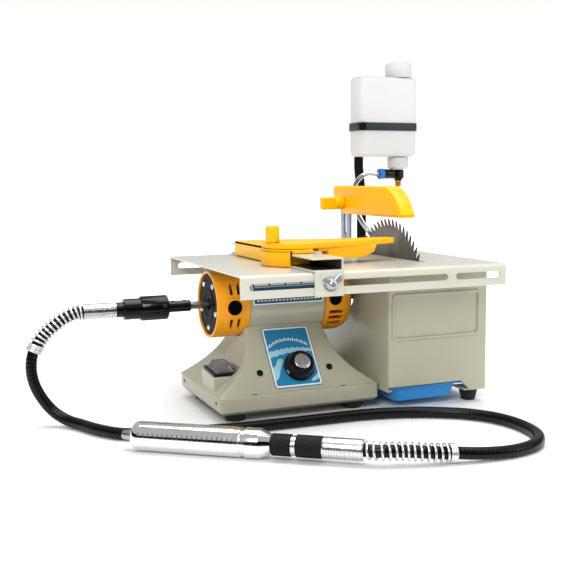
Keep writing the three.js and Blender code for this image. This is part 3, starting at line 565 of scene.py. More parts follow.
DRIP = [
    (264.2, 230, 245), (259.5, 230, 245.2), (252.5, 231.8, 246.4), (246, 233.8, 243.6), (240.3, 236.2, 238.6),
    (236.6, 237.6, 231.5), (235.4, 237.6, 223), (235.3, 235.6, 213), (235.3, 231, 202.5), (235.2, 223, 192.5),
    (235, 213, 184.8), (234.4, 203, 179.6), (233.2, 194.5, 176.2), (231.8, 187.5, 174)]
drip_line = spline(DRIP, 2)
bm = solid(sweep, drip_line, 2.9, 14)
drip = add_piece(bm, "drip_hose", TUBE_CLEAR, "drip_tube", smooth=60)


def strain_spring(name, points, turns, node, last_end):
    """A helical spring round the sheath, with three tight coils at its last or first end."""
    line = spline(points, 1.5)
    bm = solid(sweep, helix(line, SPRING_R, turns, 24), WIRE_R, 10)
    tight = line[-5:] if last_end else line[:5]
    sweep(bm, helix(tight, SPRING_R, 3, 24), WIRE_R, 10)
    add_piece(bm, name, SPRING, node, smooth=60)


strain_spring("motor_end_coil", [(-121.2, 127, 110.5)] + SHEATH[1:6], 14, "spring_motor_end", True)
strain_spring("hand_end_coil", SHEATH[29:33] + [(69.58, -111.56, 13.3)], 14, "spring_hand_end", False)

# ---------------------------------------------------------------- motor stand
bm = solid(prism, "xy", rounded((-3.5, 170.5), (51, 193), 5), 12, 28)
add_piece(bm, "stand_flange", CREAM, "motor_stand", bevel=1.6, segments=3)


def flare(z):
    """Half the pedestal's width at a height."""
    return 44 + 42.5 * max(0, (88 - z) / 60) ** 2.3


def front_y(z):
    """The sloping front face's place at a height."""
    return 54 + 46 / 60 * (z - 28)


MIDDLE_X, DEPTH = 83, 244
rings = []
for i in range(47):
    z = 27 + 1.5 * i
    half, front = flare(z), front_y(z)
    ring = rounded((MIDDLE_X - half, MIDDLE_X + half), (front, DEPTH - front), 3.5, 4)
    rings.append([(x, y, z) for x, y in ring])
bm = solid(loft, rings)
saddle = solid(turn, "x", [(-60, 35.7), (44.3, 35.7), (44.3, 34.4), (128, 34.4), (128, 35.7), (260, 35.7)],
               AXIS_Y, AXIS_Z, 96)
pocket = solid(brick, (-10, 26), (77, 118), (45, 75))
pedestal = carve("stand_pedestal", bm, [saddle, pocket])
add_piece(pedestal, "stand_pedestal", CREAM, "motor_stand", smooth=35)

bm = solid(prism, "yz", [(77, 27), (118, 27), (118, 46.5), (77, 43)], -2, 27)
add_piece(bm, "switch_box", CREAM, "motor_stand", bevel=1.0)

bm = bmesh.new()
for x in (33, 130):
    prism(bm, "xy", [(x - 3, 53.2), (x + 3, 53.2), (x + 1.5, 54.6), (x - 2, 54.6)], 27.7, 28.5)
for y in (66, 178):
    turn(bm, "x", [(-3.9, 0.4), (-3.9, 1.6), (-3.2, 1.8), (-3.2, 0.2)], y, 20, 16)
add_piece(bm, "flange_screws", BLACK)

for index, (x, y) in enumerate(((18, 72), (149, 72), (149, 172), (18, 172)), 1):
    bm = solid(turn, "z", [(0, 8), (0, 9.2), (0.6, 10), (8.6, 11.4), (9.7, 10.9), (9.7, 6)], x, y, 40)
    add_piece(bm, f"rubber_foot_{index}", RUBBER, f"stand_foot_{index}")
for side, y in (("front", 50), ("rear", 200)):
    bm = bmesh.new()
    turn(bm, "z", [(0, 5.6), (0, 6.8), (0.7, 7.6), (12.6, 10.4), (13.7, 9.8), (13.7, 4)], 279.5, y, 40)
    add_piece(bm, f"box_foot_pad_{side}", RUBBER, f"box_foot_{side}")

# ---------------------------------------------------------------- speed control
plate = [rounded((56, 108), (3.5, 72), 3)]
add_piece(sheet_cut("xy", plate, 0.3, 1.05, 0.12), "dial_plate", PLATE_BLUE, "speed_plate",
          matrix=FACE)
bm = sheet_cut("xy", [rounded((56.6, 107.4), (4.1, 71.4), 2.6), rounded((58.2, 105.8), (5.7, 69.8), 1.6)],
               1.05, 1.13, 0.02)
for i in range(21):
    tick = solid(brick, (33.2, 36.6 if i % 2 else 35.4), (-0.55, 0.55), (1.04, 1.13))
    tick.transform(Matrix.Translation((81, 23, 0)) @ Matrix.Rotation(math.radians(128 - 76 * i / 20), 4, "Z"))
    merge(bm, tick)
add_piece(bm, "dial_print", WHITE_PRINT, "speed_plate", matrix=FACE)
crest, trough = [], []
for i in range(61):
    across = 47.2 * i / 60
    crest.append((58.4 + across, 43.5 + 3.2 * math.sin(i / 60 * 2.9) + 1.5 * abs(math.sin(i * 0.42))))
    hump = 2.6 * math.sin((60 - i) / 60 * 2.9) + 1.2 * abs(math.sin(i * 0.31))
    trough.append((105.6 - across, 40.5 + hump - i * 0.06))
bm = sheet_cut("xy", [crest + trough], 1.04, 1.1, 0.02)
swirl = [(58.4, 12), (61, 13.5), (63.5, 17), (65.5, 22), (69, 29), (72, 34), (69.5, 36.5), (66, 35.5),
         (63.5, 31.5), (61.5, 28), (58.4, 26.5)]
merge(bm, sheet_cut("xy", [swirl], 1.04, 1.1, 0.02))
corner_wave = [(96, 8), (101, 8.6), (105.6, 11), (105.6, 17), (102, 13.5), (98, 11)]
merge(bm, sheet_cut("xy", [corner_wave], 1.04, 1.1, 0.02))
add_piece(bm, "dial_shade", PLATE_LIGHT, "speed_plate", matrix=FACE)

KNOB = FACE @ Matrix.Translation((86, 24.9, 0))
bm = solid(turn, "z", [(1.6, 11), (1.6, 15.6), (2.1, 16), (4.5, 15.9), (5.2, 14.9), (13.6, 12.9), (14.5, 12),
                       (14.5, 9), (14.1, 8.8), (14.1, 3)], 0, 0, 96, wave=flutes(16, 0.5, 4.8, 14))
turn(bm, "z", [(-6.5, 1), (-6.5, 3), (2, 3), (2, 1)], 0, 0, 20)
add_piece(bm, "dial_knob", GLOSS_BLACK, "speed_knob", body="knob", matrix=KNOB, smooth=35)
bm = solid(turn, "z", [(14.1, 3), (14.1, 8.5), (15.2, 8.4), (15.5, 7.8), (15.4, 3), (15.3, 0.5)], 0, 0, 48)
add_piece(bm, "knob_insert", turned_metal("insert_metal", "#C9CCD0", 0.25, rings=700),
          "speed_knob", body="knob", matrix=KNOB)

bm = bmesh.new()
for x in (43.5, 120.5):
    turn(bm, "z", [(-0.3, 1), (0.7, 3.5), (1.5, 3.1), (1.9, 1.6), (1.9, 1.2), (1.0, 1.1), (1.0, 0.2)], x,
         22.5, 24)
add_piece(bm, "face_screws", GLOSS_BLACK, matrix=FACE)

# ---------------------------------------------------------------- switch
bm = sheet_cut("xy", [rounded((-13, 13), (-18.5, 18.5), 1.5), rounded((-7.5, 7.5), (-12.5, 12.5), 0.8)],
               0, 2.2, 0.4)
merge(bm, sheet_cut("xy", [rounded((-9.5, 9.5), (-14.5, 14.5), 0.8), rounded((-7.5, 7.5), (-12.5, 12.5),
                                                                             0.8)], -8, 0.2, 0.2))
add_piece(bm, "switch_frame", BLACK, "switch_bezel", matrix=SWITCH)


def ring_box(bm, w0, d0, w1, d1, z0, z1, wall):
    """An open-bottomed box with sloping sides and a small top radius."""
    rings = []
    for w, d, z in ((w0 - 2 * wall, d0 - 2 * wall, z0), (w0, d0, z0), (w1 + 0.8, d1 + 0.8, z1 - 0.6),
                    (w1 - 0.6, d1 - 0.6, z1)):
        rings.append([(x, y, z) for x, y in rounded((-w / 2, w / 2), (-d / 2, d / 2), 1.6, 3)])
    loft(bm, rings, caps=False)
    bm.faces.new([bm.verts.new(p) for p in rings[-1]])


bm = solid(ring_box, 19, 30, 14, 22, 3.4, 10, 0.9)
ring_box(bm, 21, 32, 20.4, 31.4, 2.4, 3.5, 1.5)
for y in (-9, -3, 3, 9):
    brick(bm, (-6.2, 6.2), (y - 0.5, y + 0.5), (9.7, 10.35))
add_piece(bm, "switch_cover", CLEAR, "switch_boot", matrix=SWITCH, smooth=12, bevel=0.35)

# ---------------------------------------------------------------- motor
bm = solid(pipe, "x", 44.3, 128, 34, 31.2, sides=96)
add_piece(bm, "motor_tube", CREAM_MOTOR, "motor_housing", matrix=MOTOR, smooth=40)


def arc_patch(bm, x, z, inner, outer):
    """A patch on the motor's front between two places along it and two heights."""
    steps = 16
    a0, a1 = [math.asin(h / outer) for h in z]
    angles = [a0 + (a1 - a0) * i / steps for i in range(steps + 1)]
    loop = [(-outer * math.cos(a), outer * math.sin(a)) for a in angles]
    loop += [(-inner * math.cos(a), inner * math.sin(a)) for a in reversed(angles)]
    return prism(bm, "yz", loop, *x)


bm = solid(arc_patch, (47, 125), (1, 28), 34.1, 34.75)
add_piece(bm, "plate_white", WHITE_PRINT, "motor_nameplate", matrix=MOTOR)
bm = solid(arc_patch, (48.2, 123.8), (2.2, 27), 34.5, 34.95)
add_piece(bm, "plate_ground", PLATE_NAVY, "motor_nameplate", matrix=MOTOR)
bm = solid(arc_patch, (50, 122), (18.4, 18.9), 34.8, 35.03)
for x in ((50, 66), (68, 84), (86, 102), (104, 122)):
    arc_patch(bm, x, (20, 23.2), 34.8, 35.03)
for i in range(18):
    arc_patch(bm, (51 + 4 * i, 53.4 + 4 * i), (4.4, 5.6), 34.8, 35.03)
add_piece(bm, "plate_rules", WHITE_PRINT, "motor_nameplate", matrix=MOTOR)

bm = solid(pipe, "x", 8, 44, 35, 32, sides=96)
tools = []
for side in (-40, 24):
    for x in (22.4, 30.4):
        for z in ((12.5, 29.5), (-29.5, -12.5)):
            tools.append(solid(brick, (x, x + 3.2), (side, side + 16), z))
    tools.append(solid(turn, "y", [(side, 9.2), (side + 16, 9.2)], 26, 0, 48))
left_cap = carve("left_cap", bm, tools, MOTOR)
add_piece(left_cap, "left_cap", ORANGE, "end_cap_left", bevel=0.3)
bm = bmesh.new()
for side in (-1, 1):
    ends = sorted((side * 29, side * 37.6))
    pipe(bm, "y", *ends, 9.5, 7.8, 26, 0, 48)
add_piece(bm, "brush_bosses", ORANGE, "end_cap_left", matrix=MOTOR)
for side, node in ((-1, "brush_cap_front"), (1, "brush_cap_rear")):
    bm = bmesh.new()
    profile = [(30, 5), (30, 7.4), (37.6, 7.4), (38.3, 6.8), (38.3, 5.6), (37.3, 5.2), (37.3, 2.2),
               (38.1, 1.9), (38.1, 0.3)]
    turn(bm, "y", [(side * a, r) for a, r in profile], 26, 0, 48)
    add_piece(bm, f"{node}_turned", GLOSS_BLACK, node, matrix=MOTOR)

bm = bmesh.new()
turn(bm, "x", [(128.3, 32), (128.3, 34.6), (128.7, 35), (149.5, 35), (152, 34.6), (157, 33), (160, 30.8),
               (161.6, 28.6), (162, 27), (162, 5.2), (158.2, 5.2), (158.2, 28), (149, 32)], sides=96,
     caps=False)
tools = [solid(brick, (133.5, 149), (side, side + 22), (z - 1.7, z + 1.7))
         for side in (-40, 24) for z in (-11.4, -17.6, -23.8)]
tools.append(solid(turn, "y", [(-40, 7.4), (-24, 7.4)], 140, 3, 48))
right_cap = carve("right_cap", bm, tools, MOTOR)
add_piece(right_cap, "right_cap", ORANGE, "end_cap_right", bevel=0.3)
bm = solid(turn, "y", [(-27.5, 5), (-27.5, 7), (-35.4, 7), (-36.1, 6.4), (-36.1, 5.2), (-35.2, 4.8),
                       (-35.2, 0.4)], 140, 3, 48)
add_piece(bm, "bearing_plug", GLOSS_BLACK, "bearing_plug_front", matrix=MOTOR)

bm = solid(turn, "x", [(12.4, 5.9), (12.4, 31), (12, 31.6), (10.2, 31.6), (9.6, 31), (9.6, 17), (9, 16.4),
                       (9, 13), (9.6, 12.4), (9.6, 6.2)], sides=72, caps=False)
pipe(bm, "x", 12.2, 22, 14.5, 11.4, sides=48)
add_piece(bm, "left_plate", RECESS, "end_plate_left", matrix=MOTOR, bevel=0.25)
bm = bmesh.new()
for y, z in arc(0, 0, 24.5, 54, 342, 4):
    turn(bm, "x", [(9.8, 1), (9.8, 3), (8.7, 2.7), (8.2, 1.6), (8.25, 1.2), (8.9, 1.1), (8.9, 0.2)], y, z, 24)
add_piece(bm, "plate_screws", SPRING, matrix=MOTOR)

# ---------------------------------------------------------------- CAD nodes that are kept as they are
for material, *names in ((STEEL, "motor_shaft", "arbor_nut", "bearing_left", "bearing_right"),
                         (CORE, "stator_core"), (COPPER, "armature_core", "commutator"),
                         (CARBON, "carbon_brush_front", "carbon_brush_rear"), (BLACK, "cooling_fan"),
                         (BOARD, "control_board"),
                         (GLOSS_BLACK, "switch_rocker"), (STEEL_Z, "gauge_pivot"), (COVER, "bottom_cover")):
    for name in names:
        mesh = nodes[name].data
        mesh.materials.clear()
        mesh.materials.append(material)

# ---------------------------------------------------------------- spindle, seen behind the table
TEETH = 60
BLADE_R = 84
TOOTH = ((0, BLADE_R), (0.26, 81.4), (0.5, 78.4), (0.72, 75.8), (0.9, 74.6), (1.02, 74.5), (1.1, 75.3),
         (1.12, 76.8))
outline = []
for i in range(TEETH):
    start, pitch = 2 * math.pi * i / TEETH, 2 * math.pi / TEETH
    for part, r in TOOTH:
        outline.append((r * math.cos(start + part * pitch), r * math.sin(start + part * pitch)))
bm = solid(prism, "yz", outline, 221.2, 222.8)
add_piece(bm, "toothed_blade", BLADE, "saw_blade", body="spindle", matrix=MOTOR, smooth=25)

bm = solid(turn, "x", [(-10.5, 4.6), (-10.5, 5.3), (-11, 5.8), (-34.2, 5.8), (-34.7, 5.4), (-34.7, 3.4),
                       (-53.6, 3.4), (-54, 3), (-54, 0.4)], sides=40)
for turned_at in (-17, -29):
    turn(bm, "z", [(5.2, 0.5), (5.2, 1.7), (6.1, 1.7), (6.1, 0.9), (5.5, 0.8)], turned_at, 0, 16)
add_piece(bm, "drive_sleeve", GLOSS_BLACK, "drive_adapter", body="spindle", matrix=MOTOR)

# ---------------------------------------------------------------- saw table
section = [(0, 130.5)] + arc(3.5, 149, 3.5, 180, 90, 6) + arc(236.5, 149, 3.5, 90, 0, 6)
section += [(240, 130.5), (238, 130.5)] + arc(236.5, 149, 1.5, 0, 90, 6)
section += arc(3.5, 149, 1.5, 90, 180, 6) + [(2, 130.5)]
bm = solid(prism, "yz", section, 0, 290)
tools = [solid(prism, "xz", rounded(x, (138.25, 144.75), 3.2, 6), *y)
         for y in ((-4, 6), (234, 244)) for x in ((9, 220.5), (229.5, 282))]
tools.append(solid(prism, "xy", rounded((219.5, 224.5), (46, 208), 2.4, 5), 140, 160))
table = carve("table_sheet", bm, tools)
add_piece(table, "table_sheet", CREAM_LIT_TOP, "saw_table", smooth=32, bevel=0.35)

# ---------------------------------------------------------------- saw box
outside = [(172, 215)] + arc(175, 36, 3, 180, 270) + arc(288, 36, 3, 270, 360) + [(291, 215)]
inside = [(289, 215)] + arc(288, 36, 1, 360, 270) + arc(175, 36, 1, 270, 180) + [(174, 215)]
bm = solid(prism, "xy", outside + inside, 14, 150.2)
tools = [solid(prism, "xz", [(160, 10), (271, 10), (271, 14), (259, 25.5), (160, 25.5)], 20, 45),
         solid(brick, (160, 180), (40, 220), (10, 25.5)),
         solid(brick, (260, 300), (57, 191), (10, 25.5)),
         solid(turn, "x", [(160, 12), (180, 12)], AXIS_Y, AXIS_Z, 40)]
shell = carve("box_sheet", bm, tools)
add_piece(shell, "box_sheet", CREAM, "saw_box", smooth=32, bevel=0.35)
bm = bmesh.new()
for y in ((33.5, 57), (191, 214.5)):
    brick(bm, (263.5, 290), y, (14.2, 15.8))
for shelf, web in (((174, 177.9), (172.1, 174)), ((283, 289), (289, 290.9))):
    brick(bm, shelf, (37, 213), (20, 21.8))
    brick(bm, web, (37, 213), (20, 26.5))
for x in ((172.5, 186), (277, 290.5)):
    brick(bm, x, (34, 214), (148.3, 150.1))
add_piece(bm, "box_tabs", CREAM, "saw_box", bevel=0.3)
bm = sheet_cut("xz", [rounded((174.9, 280.6), (74, 122.5), 5), rounded((177.9, 277.6), (77, 119.5), 3)],
               31.2, 33.15, 1.2)
add_piece(bm, "box_emboss", CREAM, "saw_box")

# ---------------------------------------------------------------- tray
rings = []
for x, y, radius, z in (((186, 252), (43.5, 205.5), 5, 8), ((185, 253), (42.5, 206.5), 6, 8.6),
                        ((180.5, 257.5), (39, 210), 7, 22.2), ((174.9, 288.1), (36.4, 212.4), 3, 22.3),
                        ((174.5, 288.5), (36, 212.6), 3, 22.7), ((174.5, 288.5), (36, 212.6), 3, 23.9),
                        ((174.9, 288.1), (36.4, 212.2), 3, 24.3), ((183, 255), (41.5, 207.5), 6, 24.3),
                        ((182.3, 255.7), (42, 207), 6, 23.5), ((187.5, 250.5), (45, 204), 4, 11),
                        ((189, 249), (46.5, 202.5), 3, 10.4)):
    rings.append([(px, py, z) for px, py in rounded(x, y, radius)])
bm = solid(loft, rings)
add_piece(bm, "tray_shell", BLUE, "water_tray", body="tray", smooth=40)

# ---------------------------------------------------------------- guard and post
POST_Y = 224.5
BOLT = (POST_Y, 210)
post = [(212.5, 152.8), (236.5, 152.8), (236.5, 224.5), (235, 226), (214, 226), (212.5, 224.5)]
slot = arc(POST_Y, 218, 3.5, 0, 180, 12) + arc(POST_Y, 176, 3.5, 181, 346, 11)
bm = sheet_cut("yz", [post, slot], 216, 219, 0.3)
holes = [circle(205, y, 2.2, 18) for y in (218.5, 230.5)]
merge(bm, sheet_cut("xy", [rounded((196, 218.5), (212.5, 236.5), 2), *holes], 152.8, 155.8, 0.3))
add_piece(bm, "slotted_post", GALVANISED, "guard_post")
bm = bmesh.new()
for y in (218.5, 230.5):
    turn(bm, "z", [(155.6, 1), (155.6, 4.2), (156.6, 4), (158, 2.8), (158.4, 1.2), (157.6, 1), (157.6, 0.2)],
         205, y, 24)
add_piece(bm, "post_screws", STEEL_Z, "guard_post")


def bezier(a, b, c, d, steps):
    points = []
    for i in range(1, steps + 1):
        t = i / steps
        w = [(1 - t) ** 3, 3 * t * (1 - t) ** 2, 3 * t * t * (1 - t), t ** 3]
        points.append(tuple(sum(k * p[j] for k, p in zip(w, (a, b, c, d))) for j in (0, 1)))
    return points


def soften(points, radius, steps=5):
    """Rounds each corner of an outline."""
    result = []
    count = len(points)
    for i, p in enumerate(points):
        a, b = Vector(points[i - 1]) - Vector(p), Vector(points[(i + 1) % count]) - Vector(p)
        reach = min(radius, a.length * 0.45, b.length * 0.45)
        first, last = Vector(p) + a.normalized() * reach, Vector(p) + b.normalized() * reach
        for k in range(steps + 1):
            t = k / steps
            result.append(tuple(first * (1 - t) ** 2 + Vector(p) * (2 * t * (1 - t)) + last * t * t))
    return result


outer = soften([(81.5, 197), (229, 197), (252, 218), (252, 230.7), (124, 230.7)], 3.5)[:-6] + [(124, 230.7)]
outer += bezier((124, 230.7), (108, 230.7), (92, 218), (81, 197), 18)[:-1]
bm = sheet_cut("yz", [outer], 213, 231, 2.4)
inner = [(85, 180), (229, 180), (229, 199), (250, 218), (250, 228.7), (124, 228.7)]
inner += bezier((124, 228.7), (109, 228.7), (95, 217), (85, 199), 12)
hollow = solid(prism, "yz", inner, 215, 229)
bolt_bore = solid(turn, "x", [(205, 3.3), (218, 3.3)], *BOLT, 24)
post_bore = solid(brick, (215.2, 219.8), (201.5, 239.5), (224, 236))
guard_mesh = carve("guard_shell", bm, [hollow, bolt_bore, post_bore])
add_piece(guard_mesh, "guard_shell", YELLOW, "blade_guard", body="guard", smooth=40)

bm = solid(turn, "x", [(200, 0.5), (200, 6.3), (201, 7.5), (211, 7.5), (212.5, 6.6), (212.5, 2.9), (227, 2.9),
                       (227, 1)], *BOLT, 40)
merge(bm, sheet_cut("yz", [soften([(220.5, 202.5), (228.5, 202.5), (228.5, 217.5), (220.5, 217.5)], 2.5)],
                    184, 203, 1.6))
prism(bm, "yz", circle(*BOLT, 5.6, 6), 219.6, 224)
add_piece(bm, "guard_clamp", YELLOW, "guard_knob", body="guard_mount", smooth=40)

# ---------------------------------------------------------------- bottle and fittings
CAP = (291.5, 230)
bm = bmesh.new()
path = [(240.3, 133), (243.3, 133), (243.3, 214), (250.8, 253), (250.8, 318), (248.9, 318), (248.9, 254),
        (240.3, 215)]
prism(bm, "yz", path, 241.3, 253.1)
add_piece(bm, "bottle_bar", BLACK, "bottle_bracket", bevel=0.4)
bm = bmesh.new()
for z in (300, 288):
    turn(bm, "y", [(250.6, 1), (250.6, 3.6), (251.4, 3.4), (251.9, 2), (251.9, 0.4)], 247.2, z, 24)
add_piece(bm, "bar_screws", STEEL)


def cushion(x, y, z, radius, edge, steps=4):
    """A rounded box: vertical corners of one radius, and softer top and bottom edges."""
    rings = []
    for z_edge, sign in ((z[0], 1), (z[1], -1)):
        part = []
        for i in range(steps + 1):
            angle = math.pi / 2 * i / steps
            inset = edge * (1 - math.sin(angle))
            height = z_edge + sign * edge * (1 - math.cos(angle))
            shape = rounded((x[0] + inset, x[1] - inset), (y[0] + inset, y[1] - inset),
                            max(radius - inset * 0.6, 2.2), 6)
            part.append([(px, py, height) for px, py in shape])
        rings += part if sign == 1 else list(reversed(part))
    return rings


bm = solid(loft, cushion((231.5, 309.5), (213, 247), (266, 361.5), 8, 5))
add_piece(bm, "bottle_body", BOTTLE, "water_bottle", smooth=60)
bm = sheet_cut("xy", [rounded((229.8, 311.2), (211.3, 248.7), 9.5, 8), rounded((231.6, 309.4), (213.1, 246.9),
                                                                               8, 8)], 297, 306.5, 0.3)
add_piece(bm, "strap_band", STRAP, "bottle_strap", smooth=40)
bm = solid(brick, (230.4, 238), (211.2, 212.4), (296.9, 306.6))
brick(bm, (229.75, 230.8), (213, 219), (296.9, 306.6))
add_piece(bm, "strap_buckle", GLOSS_BLACK, "bottle_strap", bevel=0.35)
bm = solid(turn, "z", [(361.7, 11), (361.7, 15.7), (362.1, 16), (377.6, 16), (379, 15.3), (379.5, 14),
                       (379.5, 2)], *CAP, 144, wave=flutes(36, 0.35, 0, 378))
turn(bm, "z", [(355, 3), (355, 11), (362, 11), (362, 3)], *CAP, 40)
add_piece(bm, "filler_cap", MILKY_CAP, "fill_cap", body="cap", smooth=40)
bm = solid(turn, "z", [(265.7, 6), (265.7, 9.5), (265.4, 12.4), (264.9, 12.8), (262.8, 12.8), (253.5, 12.6),
                       (252.2, 12.0), (251, 9.5), (251, 3)], *CAP, 96, wave=flutes(24, 0.3, 253, 263))
turn(bm, "z", [(265, 3), (265, 6.6), (271.5, 6.4), (272, 5.8), (272, 3)], *CAP, 40)
add_piece(bm, "spout_ring", MILKY_CAP, "spout_cap", smooth=40)

bm = sheet_cut("xz", [soften([(284.8, 239), (297.3, 239), (297.3, 250.5), (284.8, 250.5)], 2.5)], 224.2,
               235.8, 1.2)
turn(bm, "x", [(271.4, 3), (271.4, 5.2), (272, 5.8), (284, 5.8), (285.5, 5.4), (285.5, 2)], 230, 245, 40)
turn(bm, "z", [(237.5, 2), (237.5, 5.2), (239.5, 5.6), (239.5, 2)], 292.3, 230, 6)
add_piece(bm, "elbow_body", GLOSS_BLACK, "elbow_fitting", smooth=40)
bm = solid(pipe, "x", 264.9, 271.3, 6.3, 3.2, 230, 245, 40)
add_piece(bm, "elbow_ring", BLUE_RING, "elbow_fitting")
bm = bmesh.new()
threads = [(229, 0.5), (229, 2.8)]
for i in range(9):
    threads += [(229.3 + i * 0.9, 2.9 + 0.09 * i), (229.75 + i * 0.9, 3.6 + 0.09 * i)]
turn(bm, "z", threads + [(237.8, 3.6), (237.8, 0.5)], 292.3, 230, 28)
add_piece(bm, "elbow_thread", BRASS, "elbow_fitting")

# ---------------------------------------------------------------- fence
bm = bmesh.new()
channel = [(72, 152.85)] + arc(102, 154.85, 2, 270, 360, 6) + arc(102, 164, 2, 0, 90, 6) + [(72, 166),
                                                                                            (72, 164.2)]
channel += arc(101.8, 163.8, 0.4, 90, 0, 2) + arc(101.8, 155, 0.4, 0, -90, 2) + [(72, 154.6)]
prism(bm, "xz", channel, 0, 235)
prism(bm, "yz", [(-2.3, 129.5), (-0.3, 129.5), (-0.3, 152.9), (0.2, 152.9), (0.2, 154.7), (-1.4, 154.7),
                 (-2.1, 154.2), (-2.3, 153.5)], 73.5, 103)
add_piece(bm, "fence_channel", CREAM_LIT_TOP, "rip_fence", body="fence", bevel=0.3, smooth=32)
# Painted shade: thin dark sheets laid inside the fence channel, where shade falls.
bm = solid(brick, (73.5, 101.6), (0.6, 234.4), (154.85, 155))
brick(bm, (101.5, 101.75), (0.6, 234.4), (155, 163.8))
brick(bm, (73.5, 101.6), (0.6, 234.4), (163.85, 164))
add_piece(bm, "fence_shade_lining", CHANNEL_SHADE, "rip_fence", body="fence")

SCREW = MACHINE @ Matrix.Translation((89, 0, 141.5))
bm = solid(turn, "y", [(-2.5, 1), (-2.5, 7.4), (-3.3, 7.2), (-3.5, 5.2), (-5.2, 5.0), (-6, 4.3), (-9.6, 3.9),
                       (-10.3, 3.1), (-10.5, 1.6), (-10.5, 0.2)], 0, 0, 40)
for turned_by in (35, 145):
    outline = soften([(2.5, -2.4), (8.4, -3.2), (13, -1.2), (13, 3), (9.4, 4.6), (2.5, 2.4)], 1.8)
    wing = sheet_cut("xz", [outline], -9.4, -6.4, 0.9)
    wing.transform(Matrix.Rotation(math.radians(-turned_by), 4, "Y"))
    merge(bm, wing)
turn(bm, "y", [(8.6, 0.4), (8.6, 2.8), (-2, 2.8), (-2, 0.4)], 0, 0, 24)
turn(bm, "y", [(2.3, 2.8), (2.3, 5.6), (6.8, 5.6), (6.8, 2.8)], 0, 0, 6)
add_piece(bm, "wing_screw", finish("screw_chrome", "#DCDEE0", 0.3, metal=0.8), "fence_wing_screw",
          body="fence_screw", matrix=SCREW, smooth=40)

# ---------------------------------------------------------------- gauge
LEFT = -15.3
LOCK = (-26, -9)


def part_disc(x0, x1, radius=33):
    """A disc's outline between two limits across it."""
    points = [(min(max(x, x0), x1), y) for x, y in circle(0, 0, radius, 96)]
    return [p for i, p in enumerate(points) if (Vector(p) - Vector(points[i - 1])).length > 0.05]


bm = sheet_cut("xy", [part_disc(-60, LEFT)], 152.9, 170.2, 1.3)
merge(bm, sheet_cut("xy", [part_disc(-60, 9)], 166.4, 170.2, 0.8))
brick(bm, (7, 15), (-10, 28), (166.4, 170.1))
merge(bm, sheet_cut("xy", [rounded((LEFT - 3, 15), (20, 128), 2)], 166.4, 170.2, 0.8))
prism(bm, "yz", [(0, 154), (128, 154), (128, 169.6), (0, 169.6)], LEFT - 3, LEFT)
brick(bm, (LEFT - 1, 8), (-24, 126), (155.1, 163.7))
add_piece(bm, "gauge_slide_body", YELLOW, "gauge_carriage", body="gauge_slide",
          matrix=GAUGE, smooth=40)

round_end = arc(0, 0, 32, math.degrees(0.7), 288, 40)
bar = soften([(10, -30), (116, -24), (116, -9), (60, 6), (24.5, 19.5)], 3)
middle = math.atan2(LOCK[1], LOCK[0]) - math.radians(11.3)
slot_outline = []
for radius, direction in ((30.4, 1), (24.6, -1)):
    for i in range(13):
        swing = -0.33 + 0.73 * i / 12
        angle = middle + (swing if direction == 1 else 0.07 - swing)
        slot_outline.append((radius * math.cos(angle), radius * math.sin(angle)))
bm = sheet_cut("xy", [bar[3:-3] + round_end, slot_outline], 170.6, 176.8, 1.1)
pad = soften([(13, 171.5), (13, 167), (26, 167), (26, 158), (72, 158), (86, 163), (90, 171.5)], 1.0)
merge(bm, sheet_cut("xz", [pad], -26, -14, 0.8))
add_piece(bm, "gauge_swing_bar", YELLOW, "gauge_arm", body="gauge_swing", matrix=ARM,
          smooth=40)
bm = solid(turn, "z", [(177.1, 3), (177.1, 6.9), (177.6, 7.2), (191.5, 7.05), (192.9, 6.4), (193.3, 5),
                       (193.3, 0.5)], *LOCK, 72, wave=flutes(18, 0.3, 178, 192))
turn(bm, "z", [(167, 1), (167, 2.5), (177.4, 2.5), (177.4, 1)], *LOCK, 20)
add_piece(bm, "gauge_post", YELLOW, "gauge_knob", body="gauge_lock", matrix=GAUGE,
          smooth=40)

# ---------------------------------------------------------------- coupling and handpiece
bm = bmesh.new()
turn(bm, "x", [(-35.4, 4.5), (-35.2, 5), (-35.2, 11.8), (-35.8, 12.4), (-62.6, 12.4), (-63.2, 11.9),
               (-63.2, 10.6), (-79.6, 10.6), (-80, 10.2), (-80, 7.6), (-88.2, 7.6), (-88.2, 5)], sides=64,
     caps=False)
for y, z in circle(0, 0, 12.15, 24):
    brick(bm, (-61.5, -37), (y - 0.35, y + 0.35), (z - 0.35, z + 0.35))
add_piece(bm, "coupling_body", GLOSS_BLACK, "coupling_housing", matrix=MOTOR, smooth=40)
bm = bmesh.new()
profile = [(-88.2, 5.6), (-88.2, 7.9)]
profile += ribs([(0, 8), (-1.1, 8), (-1.3, 7.2), (-1.9, 7.2)], 15, -88.8, -2.1)
turn(bm, "x", profile + [(-120.3, 7.9), (-120.5, 7.5), (-120.5, 5.7)], sides=48, caps=False)
add_piece(bm, "motor_ferrule", FERRULE, "coupling_housing", matrix=MOTOR, smooth=35)
bm = bmesh.new()
turn(bm, "y", [(-11.6, 1), (-11.6, 2.2), (-12.7, 2.1), (-12.7, 1.3), (-12.0, 1.2), (-12.0, 0.2)], -40, 3, 6)
add_piece(bm, "coupling_screw", STEEL, "coupling_housing", matrix=MOTOR)

